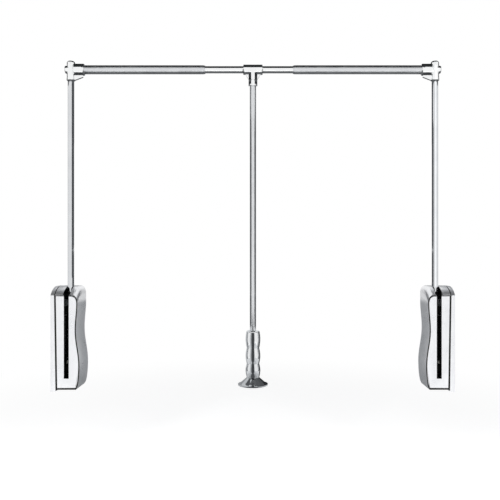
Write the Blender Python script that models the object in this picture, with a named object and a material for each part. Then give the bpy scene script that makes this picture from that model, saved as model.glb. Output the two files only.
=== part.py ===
"""Pull-down clothes rail: two sprung side housings carry a telescopic rail on swinging arms.

Metres. X runs to the user's right, Y away from the user and Z up from the housings' feet.
Inside a housing, depth in X is counted inward from the outer face that screws to the wardrobe.
"""
import math

import bmesh
import bpy
from mathutils import Matrix, Vector

# Overall places
OVERALL_WIDTH = 1.020
ARM_INSET = 0.040
PIVOT_HEIGHT = 0.052
SWING_RADIUS = 0.771
SWING_DEGREES = 105.0

# Clearances
FIT_GAP = 0.0003
GUIDE_GAP = 0.00025
SLOT_GAP = 0.0008
SLOT_FOOT_GAP = 0.0025
SLOT_BACK_GAP = 0.002
TOOTH_BACKLASH = 0.0005
DAMPER_END_GAP = 0.006

# Housing shells
HOUSING_DEPTH = 0.076
PANEL_TOP = 0.243
HOOD_RISE = 0.021
HOOD_RUN = 0.046
COVER_FOOT = 0.005
REAR_CORNER = 0.011
SHELL_WALL = 0.0025
TRAY_FLOOR = 0.0035
SEAM_TOP = 0.010
SEAM_FOOT = 0.014
FOOT_WIDTH = 0.063
BELLY_WIDTH = 0.073
BELLY_HEIGHT = 0.066
WAIST_WIDTH = 0.064
WAIST_HEIGHT = 0.155
SHOULDER_WIDTH = 0.068
SHOULDER_HEIGHT = 0.225
SHOULDER_ROUND = 0.013
SHOULDER_DROP = 0.020
NOTCH_RISE = 0.001

# Cover screws and their posts
SCREW_DIAMETER = 0.0035
SCREW_LENGTH = 0.020
SCREW_HEAD_DIAMETER = 0.0068
SCREW_HEAD_HEIGHT = 0.0014
SCREW_HEAD_DEPTH = 0.0005
POST_DIAMETER = 0.009
POST_EDGE = 0.013
UPPER_POST_DROP = 0.024
FIXING_HOLE_DIAMETER = 0.0052
FIXING_COUNT = 3

# Pivot, hub and rack
PLATE_THICKNESS = 0.002
PLATE_MARGIN = 0.005
SHAFT_DIAMETER = 0.010
SHAFT_SPIGOT_DIAMETER = 0.008
SHAFT_END = 0.002
BUSH_WALL = 0.0014
BUSH_LENGTH = 0.008
BUSH_FLANGE = 0.0015
BUSH_FLANGE_DIAMETER = 0.018
CLIP_THICKNESS = 0.0012
CLIP_DIAMETER = 0.016
CLIP_GROOVE = 0.0007
CLIP_OPENING_DEGREES = 60.0
HUB_COLLAR = 0.003
HUB_COLLAR_DIAMETER = 0.022
GEAR_WIDTH = 0.012
GEAR_MODULE = 0.002
GEAR_TEETH = 16
PRESSURE_DEGREES = 25.0
BOSS_WIDTH = 0.018
BOSS_DIAMETER = 0.026
LEVER_WIDTH = 0.0108
LEVER_DEPTH = 0.012
ARM_LIFT = 0.007
SPIGOT_LENGTH = 0.040
ARM_PIN_DIAMETER = 0.004
ARM_PIN_HEIGHT = 0.020
RACK_BACK = 0.0075
RACK_SIDE = 0.0005
GUIDE_WALL = 0.0035
GUIDE_SHORT = 0.004
PUSH_PLATE = 0.004
PUSH_PLATE_SIZE = 0.019
PUSH_PLATE_LIFT = 0.002

# Lift spring, damper and stop
SPRING_MEAN_DIAMETER = 0.015
SPRING_WIRE = 0.0022
SPRING_TURNS = 9
SPRING_LENGTH = 0.110
DAMPER_DIAMETER = 0.010
DAMPER_ROD_DIAMETER = 0.005
DAMPER_HEAD = 0.004
DAMPER_OVERLAP = 0.012
BRACKET_THICKNESS = 0.0025
BRACKET_SIZE = 0.020
BRACKET_FLANGE = 0.020
STOP_SPACING = 0.003
STOP_HEIGHT = 0.018
STOP_FLANGE = 0.007
BUFFER_DIAMETER = 0.012
BUFFER_LENGTH = 0.006

# Arms, elbows and rail
ARM_DIAMETER = 0.016
ARM_WALL = 0.0012
ELBOW_DIAMETER = 0.0205
ELBOW_RISE = 0.022
ELBOW_DROP = 0.028
ELBOW_DOME = 0.005
ELBOW_FLARE = 0.0006
ELBOW_FLARE_HEIGHT = 0.008
ARM_BORE_DROP = 0.004
SOCKET_DIAMETER = 0.030
SOCKET_REACH = 0.036
SOCKET_CHAMFER = 0.0025
SOCKET_DEPTH = 0.024
WEB_THICKNESS = 0.006
ELBOW_WEB_INSET = 0.002
ELBOW_WEB_DROP = 0.0195
CAP_BOSS_REACH = 0.0125
CAP_BOSS_DIAMETER = 0.020
CAP_DIAMETER = 0.019
CAP_HEIGHT = 0.002
CAP_PLUG_DIAMETER = 0.010
CAP_PLUG_LENGTH = 0.004
SET_SCREW_DIAMETER = 0.004
SET_SCREW_INSET = 0.010
RAIL_OUTER_DIAMETER = 0.0224
RAIL_WALL = 0.001
RAIL_INNER_DIAMETER = 0.018
LEFT_MOUTH = 0.123
RIGHT_MOUTH = 0.103
MOUTH_TAPER = 0.0009
MOUTH_LENGTH = 0.006
GUIDE_BUSH_LENGTH = 0.025
LEFT_INSERTION = 0.117
RIGHT_INSERTION = 0.107

# Tee, pull rod and handle
TEE_DIAMETER = 0.0257
TEE_LENGTH = 0.0496
TEE_CHAMFER = 0.001
STEM_DIAMETER = 0.0226
STEM_DROP = 0.043
STEM_CHAMFER = 0.0015
TEE_WEB_INSET = 0.003
TEE_WEB_DROP = 0.032
ROD_DIAMETER = 0.016
ROD_WALL = 0.0012
ROD_SEAT_DROP = 0.0135
TEE_SCREW_DROP = 0.032
GRIP_TOP = 0.150
GRIP_FOOT = 0.0295
GRIP_BULGE_DIAMETER = 0.038
GRIP_WAIST_DIAMETER = 0.0325
GRIP_UPPER_WAIST = 0.1045
GRIP_LOWER_WAIST = 0.0645
GRIP_TOP_ROUND = 0.005
BELL_DIAMETER = 0.077
BELL_FOOT = 0.009
BELL_WALL = 0.003
BELL_NECK = 0.006
BELL_NECK_DIAMETER = 0.0315
BELL_CONE_DIAMETER = 0.062
BELL_CONE_FOOT = 0.016
BRIM_FALL = 0.0035
END_SCREW_HEAD_DIAMETER = 0.022
END_SCREW_HEAD = 0.0025
END_SCREW_PLUG = 0.014

# Mesh fineness
TUBE_SIDES = 24
FITTING_SIDES = 24
SHAFT_SIDES = 20
SMALL_SIDES = 12
HANDLE_SIDES = 32
WAVE_ROWS = 14
ARC_STEPS = 4
BULGE_STEPS = 6
FLANK_STEPS = 2
WIRE_SIDES = 6
SIDE_COLUMNS = (0.08, 0.2, 0.4, 0.7)
POINTS_PER_CURL = 8
SMOOTH_DEGREES = 32.0

# Places worked out from the sizes above
HALF_WIDTH = OVERALL_WIDTH / 2
RAIL_HEIGHT = PIVOT_HEIGHT + SWING_RADIUS
SWING = math.radians(SWING_DEGREES)
FRONT = -HOUSING_DEPTH / 2
REAR = HOUSING_DEPTH / 2
HOOD_TOP = PANEL_TOP + HOOD_RISE
HOOD_FLAT = FRONT + HOOD_RUN
HOOD_RADIUS = (HOOD_RISE ** 2 + HOOD_RUN ** 2) / (2 * HOOD_RISE)
ARM_RADIUS = ARM_DIAMETER / 2
PLATE_OUTER = TRAY_FLOOR + FIT_GAP
PLATE_INNER = PLATE_OUTER + PLATE_THICKNESS
PLATE_SEAT = PLATE_INNER + FIT_GAP
HUB_START = PLATE_SEAT + BUSH_FLANGE + FIT_GAP
GEAR_START = HUB_START + HUB_COLLAR
BOSS_START = ARM_INSET - BOSS_WIDTH / 2
HUB_END = ARM_INSET + BOSS_WIDTH / 2
CLIP_START = HUB_END + FIT_GAP + BUSH_FLANGE + FIT_GAP
PITCH_RADIUS = GEAR_MODULE * GEAR_TEETH / 2
TIP_RADIUS = PITCH_RADIUS + GEAR_MODULE
ROOT_DEPTH = 1.3 * GEAR_MODULE
RACK_TRAVEL = PITCH_RADIUS * SWING
RACK_ROOT = PITCH_RADIUS + ROOT_DEPTH
RACK_MIDDLE = GEAR_START + GEAR_WIDTH / 2
RACK_LINE = RACK_ROOT + RACK_BACK / 2
PUSH_PLATE_FOOT = PIVOT_HEIGHT + TIP_RADIUS + PUSH_PLATE_LIFT
SPRING_FOOT = PUSH_PLATE_FOOT + PUSH_PLATE
BRACKET_FOOT = SPRING_FOOT + SPRING_LENGTH
BRACKET_TOP = BRACKET_FOOT + BRACKET_THICKNESS + BRACKET_FLANGE
STOP_MIDDLE = BRACKET_TOP + STOP_SPACING + STOP_HEIGHT / 2
ARM_FOOT = PANEL_TOP + ARM_LIFT
LEVER_REAR = LEVER_DEPTH / 2
ARM_TOP = RAIL_HEIGHT - ARM_BORE_DROP - FIT_GAP
DIP = SWING - math.pi / 2
SLOT_FOOT = PIVOT_HEIGHT + FRONT * math.tan(DIP) - LEVER_REAR / math.cos(DIP) - SLOT_FOOT_GAP
SOCKET_END = ARM_INSET + SOCKET_REACH
BELL_SEAT = GRIP_FOOT - BELL_NECK
SCREW_SPOTS = ((FRONT + POST_EDGE, COVER_FOOT + POST_EDGE),
               (REAR - POST_EDGE, HOOD_TOP - UPPER_POST_DROP))

FINISHES = {
    "silver_plastic": ((0.80, 0.81, 0.82), 0.35, 0.0),
    "chrome": ((0.82, 0.83, 0.84), 0.08, 1.0),
    "satin_steel": ((0.66, 0.67, 0.68), 0.28, 1.0),
    "zinc_steel": ((0.58, 0.59, 0.57), 0.40, 1.0),
    "dark_spring": ((0.16, 0.16, 0.17), 0.45, 1.0),
    "black_plastic": ((0.03, 0.03, 0.03), 0.45, 0.0),
    "white_plastic": ((0.78, 0.78, 0.75), 0.45, 0.0),
    "rubber": ((0.02, 0.02, 0.02), 0.80, 0.0),
}
PIECES = {}


def clear_scene():
    """Remove everything that the file starts with."""
    for item in list(bpy.data.objects):
        bpy.data.objects.remove(item, do_unlink=True)


def finish(name):
    """Principled material for one named finish, made once."""
    made = bpy.data.materials.get(name)
    if made:
        return made
    colour, roughness, metallic = FINISHES[name]
    made = bpy.data.materials.new(name)
    made.use_nodes = True
    shader = made.node_tree.nodes["Principled BSDF"]
    shader.inputs["Base Color"].default_value = (*colour, 1.0)
    shader.inputs["Roughness"].default_value = roughness
    shader.inputs["Metallic"].default_value = metallic
    made.diffuse_color = (*colour, 1.0)
    return made


def joint_frame(name, place):
    """Empty that marks a joint's axis and carries the pieces that move on it."""
    empty = bpy.data.objects.new(name, None)
    empty.location = place
    empty.empty_display_size = 0.02
    bpy.context.collection.objects.link(empty)
    return empty


def body_object(name, mesh):
    """Object with its mesh in the part's frame, faces turned outward."""
    item = bpy.data.objects.new(name, mesh)
    bpy.context.collection.objects.link(item)
    return item


def from_bmesh(name, bm):
    """Closed bmesh turned into an object."""
    bmesh.ops.recalc_face_normals(bm, faces=bm.faces)
    mesh = bpy.data.meshes.new(name)
    bm.to_mesh(mesh)
    bm.free()
    return body_object(name, mesh)


def skin(name, rings, round_trip=False, capped=True):
    """Closed body over a row of rings; a ring of one point is a pole.

    Args:
        name: name of the new object.
        rings: lists of points, all of one length or of length one.
        round_trip: join the last ring to the first, as in a tube with a bore.
        capped: close the first and last rings with a face.
    """
    bm = bmesh.new()
    rows = [[bm.verts.new(point) for point in ring] for ring in rings]
    pairs = list(zip(rows, rows[1:]))
    if round_trip:
        pairs.append((rows[-1], rows[0]))
    for low, high in pairs:
        sides = max(len(low), len(high))
        for i in range(sides):
            j = (i + 1) % sides
            if len(low) == 1:
                bm.faces.new((low[0], high[j], high[i]))
            elif len(high) == 1:
                bm.faces.new((low[i], low[j], high[0]))
            else:
                bm.faces.new((low[i], low[j], high[j], high[i]))
    if capped and not round_trip:
        for row in (rows[0], rows[-1]):
            if len(row) > 2:
                bm.faces.new(row)
    return from_bmesh(name, bm)


def turned(name, profile, place, sides):
    """Body of revolution.

    Args:
        name: name of the new object.
        profile: (radius, along) points; starting and ending on radius 0 gives a plain turned
            body, any other outline is a closed loop round a bore.
        place: function from (along, across, up) to a point.
        sides: facets round the axis.
    """
    rings = []
    for radius, along in profile:
        steps = 1 if radius == 0 else sides
        turns = [2 * math.pi * (i + 0.5) / sides for i in range(steps)]
        rings.append([place(along, radius * math.cos(a), radius * math.sin(a)) for a in turns])
    bored = profile[0][0] > 0
    return skin(name, rings, round_trip=bored, capped=False)


def prism(name, outline, low, high, place):
    """Outline of (p, q) points drawn out from low to high; place maps (along, p, q) to a point."""
    rings = [[place(along, p, q) for p, q in outline] for along in (low, high)]
    return skin(name, rings)


def combine(item, others, operation, solver):
    """Boolean of an object with others, which are used up."""
    for other in others:
        modifier = item.modifiers.new(operation, "BOOLEAN")
        modifier.operation = operation
        modifier.solver = solver
        modifier.object = other
        graph = bpy.context.evaluated_depsgraph_get()
        mesh = bpy.data.meshes.new_from_object(item.evaluated_get(graph))
        item.modifiers.clear()
        item.data = mesh
        bpy.data.objects.remove(other, do_unlink=True)
    return item


def cut(item, *others, solver="EXACT"):
    """Item with the others cut away."""
    return combine(item, others, "DIFFERENCE", solver)


def join(item, *others, solver="EXACT"):
    """Item with the others united to it."""
    return combine(item, others, "UNION", solver)


def keep(item, finish_name, frame):
    """Give a finished body its material and smooth shading, and hang it on its joint frame."""
    item.data.materials.clear()
    item.data.materials.append(finish(finish_name))
    item.data.shade_smooth()
    item.data.set_sharp_from_angle(angle=math.radians(SMOOTH_DEGREES))
    item.parent = frame
    item.matrix_parent_inverse = Matrix.Translation(-frame.location)
    PIECES[item.name] = item
    return item


def side_name(side):
    """Word for a side: -1 is left and 1 is right."""
    return "left" if side < 0 else "right"


def side_x(side, depth):
    """X of a point that lies depth inside a housing's outer face."""
    return side * (HALF_WIDTH - depth)


def about_pivot(side):
    """Placer for shapes turned about the arm's pivot, along = depth."""
    return lambda along, p, q: Vector((side_x(side, along), p, PIVOT_HEIGHT + q))


def across_housing(side):
    """Placer for outlines of (y, z) drawn out in depth."""
    return lambda along, p, q: Vector((side_x(side, along), p, q))


def about_rail(along, p, q):
    """Placer for shapes turned about the rail, along = X."""
    return Vector((along, p, RAIL_HEIGHT + q))


def about_rail_end(side):
    """Placer for shapes turned about the rail, along = depth."""
    return lambda along, p, q: Vector((side_x(side, along), p, RAIL_HEIGHT + q))


def upright(x, y):
    """Placer for shapes turned about a vertical line, along = Z."""
    return lambda along, p, q: Vector((x + p, y + q, along))


def toward_rear(x, z):
    """Placer for shapes turned about a line in Y, along = Y."""
    return lambda along, p, q: Vector((x + p, along, z + q))


def rod_profile(diameter, low, high):
    """Plain round bar."""
    radius = diameter / 2
    return [(0, low), (radius, low), (radius, high), (0, high)]


def tube_profile(diameter, wall, low, high):
    """Plain round tube."""
    radius = diameter / 2
    return [(radius - wall, low), (radius, low), (radius, high), (radius - wall, high)]


def wave(z):
    """Depth of the cover's inner side at a height: a belly below, a waist, then a shoulder."""
    if z <= BELLY_HEIGHT:
        part = 1 - max(0.0, (z - COVER_FOOT) / (BELLY_HEIGHT - COVER_FOOT))
        return FOOT_WIDTH + (BELLY_WIDTH - FOOT_WIDTH) * math.sqrt(1 - part ** 2)
    knots = ((BELLY_HEIGHT, BELLY_WIDTH), (WAIST_HEIGHT, WAIST_WIDTH), (SHOULDER_HEIGHT, SHOULDER_WIDTH))
    for (low, start), (high, end) in zip(knots, knots[1:]):
        if z <= high:
            part = (z - low) / (high - low)
            return start + (end - start) * (1 - math.cos(math.pi * part)) / 2
    return SHOULDER_WIDTH


def seam(z):
    """Depth of the leaning seam between tray and cover at a height."""
    return SEAM_FOOT + (SEAM_TOP - SEAM_FOOT) * z / HOOD_TOP


def hood_height(y):
    """Height of the hood's arc, which runs level at the rear."""
    run = max(0.0, HOOD_FLAT - y)
    return HOOD_TOP - HOOD_RADIUS + math.sqrt(HOOD_RADIUS ** 2 - run ** 2)


def side_depth(y, z):
    """Depth of the cover's inner side at a place: the wave, rounded over under the hood."""
    part = 1 - (hood_height(y) - z) / SHOULDER_DROP
    if part <= 0:
        return wave(z)
    return wave(z) - SHOULDER_ROUND * (1 - math.sqrt(max(0.0, 1 - part ** 2)))


def shell_rows(foot, inset, panel_rows=WAVE_ROWS):
    """Rows of (height, front y, rear y) from the foot to the hood, drawn in by inset."""
    quarter = [math.pi / 2 * i / ARC_STEPS for i in range(ARC_STEPS + 1)]
    rows = [(foot + REAR_CORNER * (1 - math.cos(a)), FRONT, REAR - REAR_CORNER * (1 - math.sin(a)))
            for a in quarter]
    start = foot + REAR_CORNER
    levels = [start + (PANEL_TOP - start) * (i + 1) / panel_rows for i in range(panel_rows)]
    rows += [(z, FRONT, REAR) for z in levels]
    arc = [FRONT + HOOD_RUN * i / ARC_STEPS for i in range(1, ARC_STEPS + 1)]
    rows += [(hood_height(y), y, REAR) for y in arc]
    shrink = 1 - 2 * inset / (HOOD_TOP - foot)
    return [(foot + inset + (z - foot) * shrink, front + inset, rear - inset) for z, front, rear in rows]


def shell_ring(side, rows, depth):
    """Ring round a housing: up the front, down the rear; depth is a function of (y, height)."""
    front = [Vector((side_x(side, depth(low, z)), low, z)) for z, low, high in rows]
    rear = [Vector((side_x(side, depth(high, z)), high, z)) for z, low, high in rows]
    return front + rear[::-1]


def close_side(bm, side, ring, rows, depth):
    """Waved face over one end of a shell, in strips from front to rear with columns between."""
    lines = []
    for i, (z, low, high) in enumerate(rows):
        ends = (ring[i], ring[len(ring) - 1 - i])
        ys = [low + (high - low) * part for part in SIDE_COLUMNS] if 0 < i < len(rows) - 1 else []
        lines.append([ends[0]] + [bm.verts.new((side_x(side, depth(y, z)), y, z)) for y in ys] + [ends[1]])
    for low, high in zip(lines, lines[1:]):
        if len(low) == len(high):
            for i in range(len(low) - 1):
                bm.faces.new((low[i], low[i + 1], high[i + 1], high[i]))
        else:
            bm.faces.new(low + high[::-1])


def cover_shell(name, side):
    """Hollow shell of the cover, open to the seam; both walls follow the wave."""
    outer, inner = shell_rows(COVER_FOOT, 0.0), shell_rows(COVER_FOOT, SHELL_WALL)
    mouth = lambda y, z: seam(z) + FIT_GAP
    inside = lambda y, z: side_depth(y, z) - SHELL_WALL
    rings = [shell_ring(side, inner, inside), shell_ring(side, inner, mouth), shell_ring(side, outer, mouth),
             shell_ring(side, outer, side_depth)]
    bm = bmesh.new()
    loops = [[bm.verts.new(point) for point in ring] for ring in rings]
    count = len(loops[0])
    for low, high in zip(loops, loops[1:]):
        for i in range(count):
            j = (i + 1) % count
            bm.faces.new((low[i], low[j], high[j], high[i]))
    close_side(bm, side, loops[0], inner, inside)
    close_side(bm, side, loops[-1], outer, side_depth)
    return from_bmesh(name, bm)


def at_spot(side, spot):
    """Placer for shapes turned about a line in depth at a (y, z) spot."""
    y, z = spot
    return lambda along, p, q: Vector((side_x(side, along), y + p, z + q))


def hole(side, spot, diameter, low, high):
    """Round bar in depth at a (y, z) spot, mostly used to cut a hole."""
    return turned("hole", rod_profile(diameter, low, high), at_spot(side, spot), SMALL_SIDES)


def box(side, depths, ys, zs, name="box"):
    """Plain block between two depths, two y and two z."""
    (y0, y1), (z0, z1) = ys, zs
    outline = [(y0, z0), (y1, z0), (y1, z1), (y0, z1)]
    return prism(name, outline, *depths, across_housing(side))


def fixing_spots():
    """Places of the wood screws, up the front where the open housing gives access."""
    span = PANEL_TOP - PIVOT_HEIGHT
    step = span / FIXING_COUNT
    return [(FRONT + POST_EDGE, PIVOT_HEIGHT + step * (i + 0.5)) for i in range(FIXING_COUNT)]


def make_tray(side, frame):
    """Outer half of the housing, which screws to the wardrobe's side."""
    outer = shell_rows(0.0, 0.0, 1)
    inner = shell_rows(0.0, SHELL_WALL, 1)
    rim = lambda y, z: seam(z)
    rings = [shell_ring(side, outer, lambda y, z: 0.0), shell_ring(side, outer, rim),
             shell_ring(side, inner, rim), shell_ring(side, inner, lambda y, z: TRAY_FLOOR)]
    tray = skin(side_name(side) + "_tray", rings)
    through = (-TRAY_FLOOR, 2 * TRAY_FLOOR)
    head, shank = SCREW_HEAD_DIAMETER / 2 + FIT_GAP, SCREW_DIAMETER / 2 + FIT_GAP
    pocket = SCREW_HEAD_DEPTH + SCREW_HEAD_HEIGHT + FIT_GAP
    profile = [(0, through[0]), (head, through[0]), (head, pocket), (shank, pocket), (shank, through[1]),
               (0, through[1])]
    for spot in SCREW_SPOTS:
        cut(tray, turned("pocket", profile, at_spot(side, spot), SMALL_SIDES))
    for spot in fixing_spots():
        cut(tray, hole(side, spot, FIXING_HOLE_DIAMETER, *through))
    keep(tray, "silver_plastic", frame)


def make_base_plate(side, frame):
    """Steel plate in the tray that carries the pivot, the spring and the stop."""
    margin = SHELL_WALL + PLATE_MARGIN
    front, rear, foot, top = FRONT + margin, REAR - margin, margin, HOOD_TOP - margin
    outline = [(front, foot), (rear, foot), (rear, top), (HOOD_FLAT, top), (front, PANEL_TOP - margin)]
    plate = prism(side_name(side) + "_base_plate", outline, PLATE_OUTER, PLATE_INNER, across_housing(side))
    through = (0.0, 2 * PLATE_INNER)
    cut(plate, hole(side, (0.0, PIVOT_HEIGHT), SHAFT_SPIGOT_DIAMETER + 2 * FIT_GAP, *through))
    for spot in SCREW_SPOTS:
        cut(plate, hole(side, spot, SCREW_DIAMETER + 2 * FIT_GAP, *through))
    for spot in fixing_spots():
        cut(plate, hole(side, spot, FIXING_HOLE_DIAMETER, *through))
    keep(plate, "zinc_steel", frame)


def make_cover(side, frame):
    """Waved inner half of the housing, with the lever's slot up its front and the arm's in its hood."""
    cover = cover_shell(side_name(side) + "_cover", side)
    for y, z in SCREW_SPOTS:
        post = hole(side, (y, z), POST_DIAMETER, PLATE_SEAT, wave(z) - SHELL_WALL / 2)
        join(cover, post, solver="MANIFOLD")
    half, wide = LEVER_WIDTH / 2 + SLOT_GAP, ARM_RADIUS + SLOT_GAP
    over = HOOD_TOP + HOOD_RISE
    slot = box(side, (ARM_INSET - half, ARM_INSET + half), (2 * FRONT, LEVER_REAR + SLOT_BACK_GAP),
               (SLOT_FOOT, over))
    notch = box(side, (ARM_INSET - wide, ARM_INSET + wide), (2 * FRONT, ARM_RADIUS + SLOT_BACK_GAP),
                (PANEL_TOP + NOTCH_RISE, over))
    screw_end = SCREW_HEAD_DEPTH + SCREW_HEAD_HEIGHT + SCREW_LENGTH + FIT_GAP
    bores = [hole(side, spot, SCREW_DIAMETER + 2 * FIT_GAP, 0.0, screw_end) for spot in SCREW_SPOTS]
    cut(cover, slot, notch, *bores, solver="MANIFOLD")
    keep(cover, "silver_plastic", frame)


def make_cover_screws(side, frame):
    """Two screws from the outer face through tray and plate into the cover's posts."""
    head = SCREW_HEAD_DEPTH + SCREW_HEAD_HEIGHT
    radius = SCREW_DIAMETER / 2
    profile = [(0, SCREW_HEAD_DEPTH), (SCREW_HEAD_DIAMETER / 2, SCREW_HEAD_DEPTH),
               (SCREW_HEAD_DIAMETER / 2, head), (radius, head), (radius, head + SCREW_LENGTH - radius),
               (0, head + SCREW_LENGTH)]
    for word, spot in zip(("lower", "upper"), SCREW_SPOTS):
        name = f"{side_name(side)}_cover_screw_{word}"
        keep(turned(name, profile, at_spot(side, spot), SMALL_SIDES), "zinc_steel", frame)


def make_pivot_shaft(side, frame):
    """Shouldered shaft riveted in the base plate, with a groove for the clip."""
    spigot, radius = SHAFT_SPIGOT_DIAMETER / 2, SHAFT_DIAMETER / 2
    groove = radius - CLIP_GROOVE
    clip_end = CLIP_START + CLIP_THICKNESS
    end = clip_end + FIT_GAP + SHAFT_END
    profile = [(0, PLATE_OUTER), (spigot, PLATE_OUTER), (spigot, PLATE_SEAT), (radius, PLATE_SEAT),
               (radius, CLIP_START - FIT_GAP), (groove, CLIP_START - FIT_GAP),
               (groove, clip_end + FIT_GAP), (radius, clip_end + FIT_GAP), (radius, end), (0, end)]
    keep(turned(side_name(side) + "_pivot_shaft", profile, about_pivot(side), SHAFT_SIDES),
         "zinc_steel", frame)


def make_retaining_clip(side, frame):
    """Open spring clip in the shaft's groove, its mouth to the rear."""
    inner, outer = SHAFT_DIAMETER / 2 - CLIP_GROOVE + FIT_GAP, CLIP_DIAMETER / 2
    place = about_pivot(side)
    half_mouth = math.radians(CLIP_OPENING_DEGREES) / 2
    rings = []
    for i in range(SMALL_SIDES + 1):
        angle = half_mouth + (2 * math.pi - 2 * half_mouth) * i / SMALL_SIDES
        corners = ((inner, 0), (outer, 0), (outer, CLIP_THICKNESS), (inner, CLIP_THICKNESS))
        rings.append([place(CLIP_START + along, r * math.cos(angle), r * math.sin(angle))
                      for r, along in corners])
    keep(skin(side_name(side) + "_retaining_clip", rings), "dark_spring", frame)


def make_bushes(side, frame):
    """Two flanged bushes that carry the hub on the shaft."""
    bore = SHAFT_DIAMETER / 2 + FIT_GAP
    sleeve, flange = bore + BUSH_WALL, BUSH_FLANGE_DIAMETER / 2
    for word, start, way in (("outer", PLATE_SEAT, 1), ("inner", HUB_END + FIT_GAP + BUSH_FLANGE, -1)):
        shoulder, end = start + way * BUSH_FLANGE, start + way * (BUSH_FLANGE + BUSH_LENGTH)
        profile = [(bore, start), (flange, start), (flange, shoulder), (sleeve, shoulder),
                   (sleeve, end), (bore, end)]
        keep(turned(f"{side_name(side)}_pivot_bush_{word}", profile, about_pivot(side), SHAFT_SIDES),
             "white_plastic", frame)


def gear_outline():
    """Involute teeth about the pivot as (y, z) offsets, one tooth pointing to the rear."""
    pressure = math.radians(PRESSURE_DEGREES)
    base = PITCH_RADIUS * math.cos(pressure)
    root = PITCH_RADIUS - ROOT_DEPTH
    start = max(base, root)

    def involute(radius):
        roll = math.acos(min(1.0, base / radius))
        return math.tan(roll) - roll

    half = (math.pi * GEAR_MODULE / 2 - TOOTH_BACKLASH) / 2 / PITCH_RADIUS + involute(PITCH_RADIUS)
    radii = [start + (TIP_RADIUS - start) * i / FLANK_STEPS for i in range(FLANK_STEPS + 1)]
    flank = [(root - FIT_GAP, half - involute(start))] + [(r, half - involute(r)) for r in radii]
    outline = []
    for tooth in range(GEAR_TEETH):
        middle = 2 * math.pi * tooth / GEAR_TEETH
        polar = [(r, middle - a) for r, a in flank] + [(r, middle + a) for r, a in reversed(flank)]
        outline += [(r * math.cos(a), r * math.sin(a)) for r, a in polar]
    return outline


def make_lever(side, frame):
    """Geared lever: gear, collar and boss on the pivot, the flat lever and the arm's spigot."""
    collar, boss = HUB_COLLAR_DIAMETER / 2, BOSS_DIAMETER / 2
    profile = [(0, HUB_START), (collar, HUB_START), (collar, BOSS_START), (boss, BOSS_START),
               (boss, HUB_END), (0, HUB_END)]
    place = about_pivot(side)
    lever = turned(side_name(side) + "_geared_lever", profile, place, FITTING_SIDES)
    gear = prism("gear", gear_outline(), GEAR_START, GEAR_START + GEAR_WIDTH, place)
    half, seat = LEVER_WIDTH / 2, ARM_FOOT - FIT_GAP
    bar = box(side, (ARM_INSET - half, ARM_INSET + half), (-LEVER_REAR, LEVER_REAR), (PIVOT_HEIGHT, seat))
    spigot = rod_profile(ARM_DIAMETER - 2 * (ARM_WALL + FIT_GAP), seat - 2 * FIT_GAP, seat + SPIGOT_LENGTH)
    join(lever, gear, bar, turned("spigot", spigot, upright(side_x(side, ARM_INSET), 0.0), TUBE_SIDES),
         solver="MANIFOLD")
    bore = SHAFT_DIAMETER + 2 * (FIT_GAP + BUSH_WALL + FIT_GAP)
    pin_spot = (0.0, ARM_FOOT + ARM_PIN_HEIGHT)
    cut(lever, turned("bore", rod_profile(bore, 0.0, 2 * HUB_END), place, FITTING_SIDES),
        hole(side, pin_spot, ARM_PIN_DIAMETER + 2 * FIT_GAP, 0.0, 2 * ARM_INSET), solver="MANIFOLD")
    keep(lever, "dark_spring", frame)


def make_arm(side, frame):
    """Arm tube on the lever's spigot, held by a cross pin."""
    arm_x = side_x(side, ARM_INSET)
    arm = turned(side_name(side) + "_arm_tube", tube_profile(ARM_DIAMETER, ARM_WALL, ARM_FOOT, ARM_TOP),
                 upright(arm_x, 0.0), TUBE_SIDES)
    pin_spot = (0.0, ARM_FOOT + ARM_PIN_HEIGHT)
    cut(arm, hole(side, pin_spot, ARM_PIN_DIAMETER + 2 * FIT_GAP, 0.0, 2 * ARM_INSET))
    keep(arm, "chrome", frame)
    reach = ARM_RADIUS - FIT_GAP
    pin = hole(side, pin_spot, ARM_PIN_DIAMETER, ARM_INSET - reach, ARM_INSET + reach)
    pin.name = side_name(side) + "_arm_pin"
    keep(pin, "zinc_steel", frame)


def make_rack(side, frame):
    """Toothed rack behind the hub, with the push plate that the lift spring stands on."""
    pitch = math.pi * GEAR_MODULE
    lean = math.tan(math.radians(PRESSURE_DEGREES))
    half = (pitch / 2 - TOOTH_BACKLASH) / 2
    tip_half, root_half = half - GEAR_MODULE * lean, half + ROOT_DEPTH * lean
    tip = PITCH_RADIUS - GEAR_MODULE
    below = math.ceil(RACK_TRAVEL / pitch + 1)
    foot = PIVOT_HEIGHT - below * pitch
    outline = [(RACK_ROOT, foot)]
    for tooth in range(-below, 2):
        middle = PIVOT_HEIGHT + (tooth + 0.5) * pitch
        outline += [(RACK_ROOT, middle - root_half), (tip, middle - tip_half),
                    (tip, middle + tip_half), (RACK_ROOT, middle + root_half)]
    top = PUSH_PLATE_FOOT + PUSH_PLATE / 2
    outline += [(RACK_ROOT, top), (RACK_ROOT + RACK_BACK, top), (RACK_ROOT + RACK_BACK, foot)]
    depths = (GEAR_START + RACK_SIDE, GEAR_START + GEAR_WIDTH - RACK_SIDE)
    rack = prism(side_name(side) + "_rack", outline, *depths, across_housing(side))
    reach = PUSH_PLATE_SIZE / 2
    join(rack, box(side, (RACK_MIDDLE - reach, RACK_MIDDLE + reach), (RACK_LINE - reach, RACK_LINE + reach),
                   (PUSH_PLATE_FOOT, SPRING_FOOT)))
    keep(rack, "black_plastic", frame)


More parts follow.
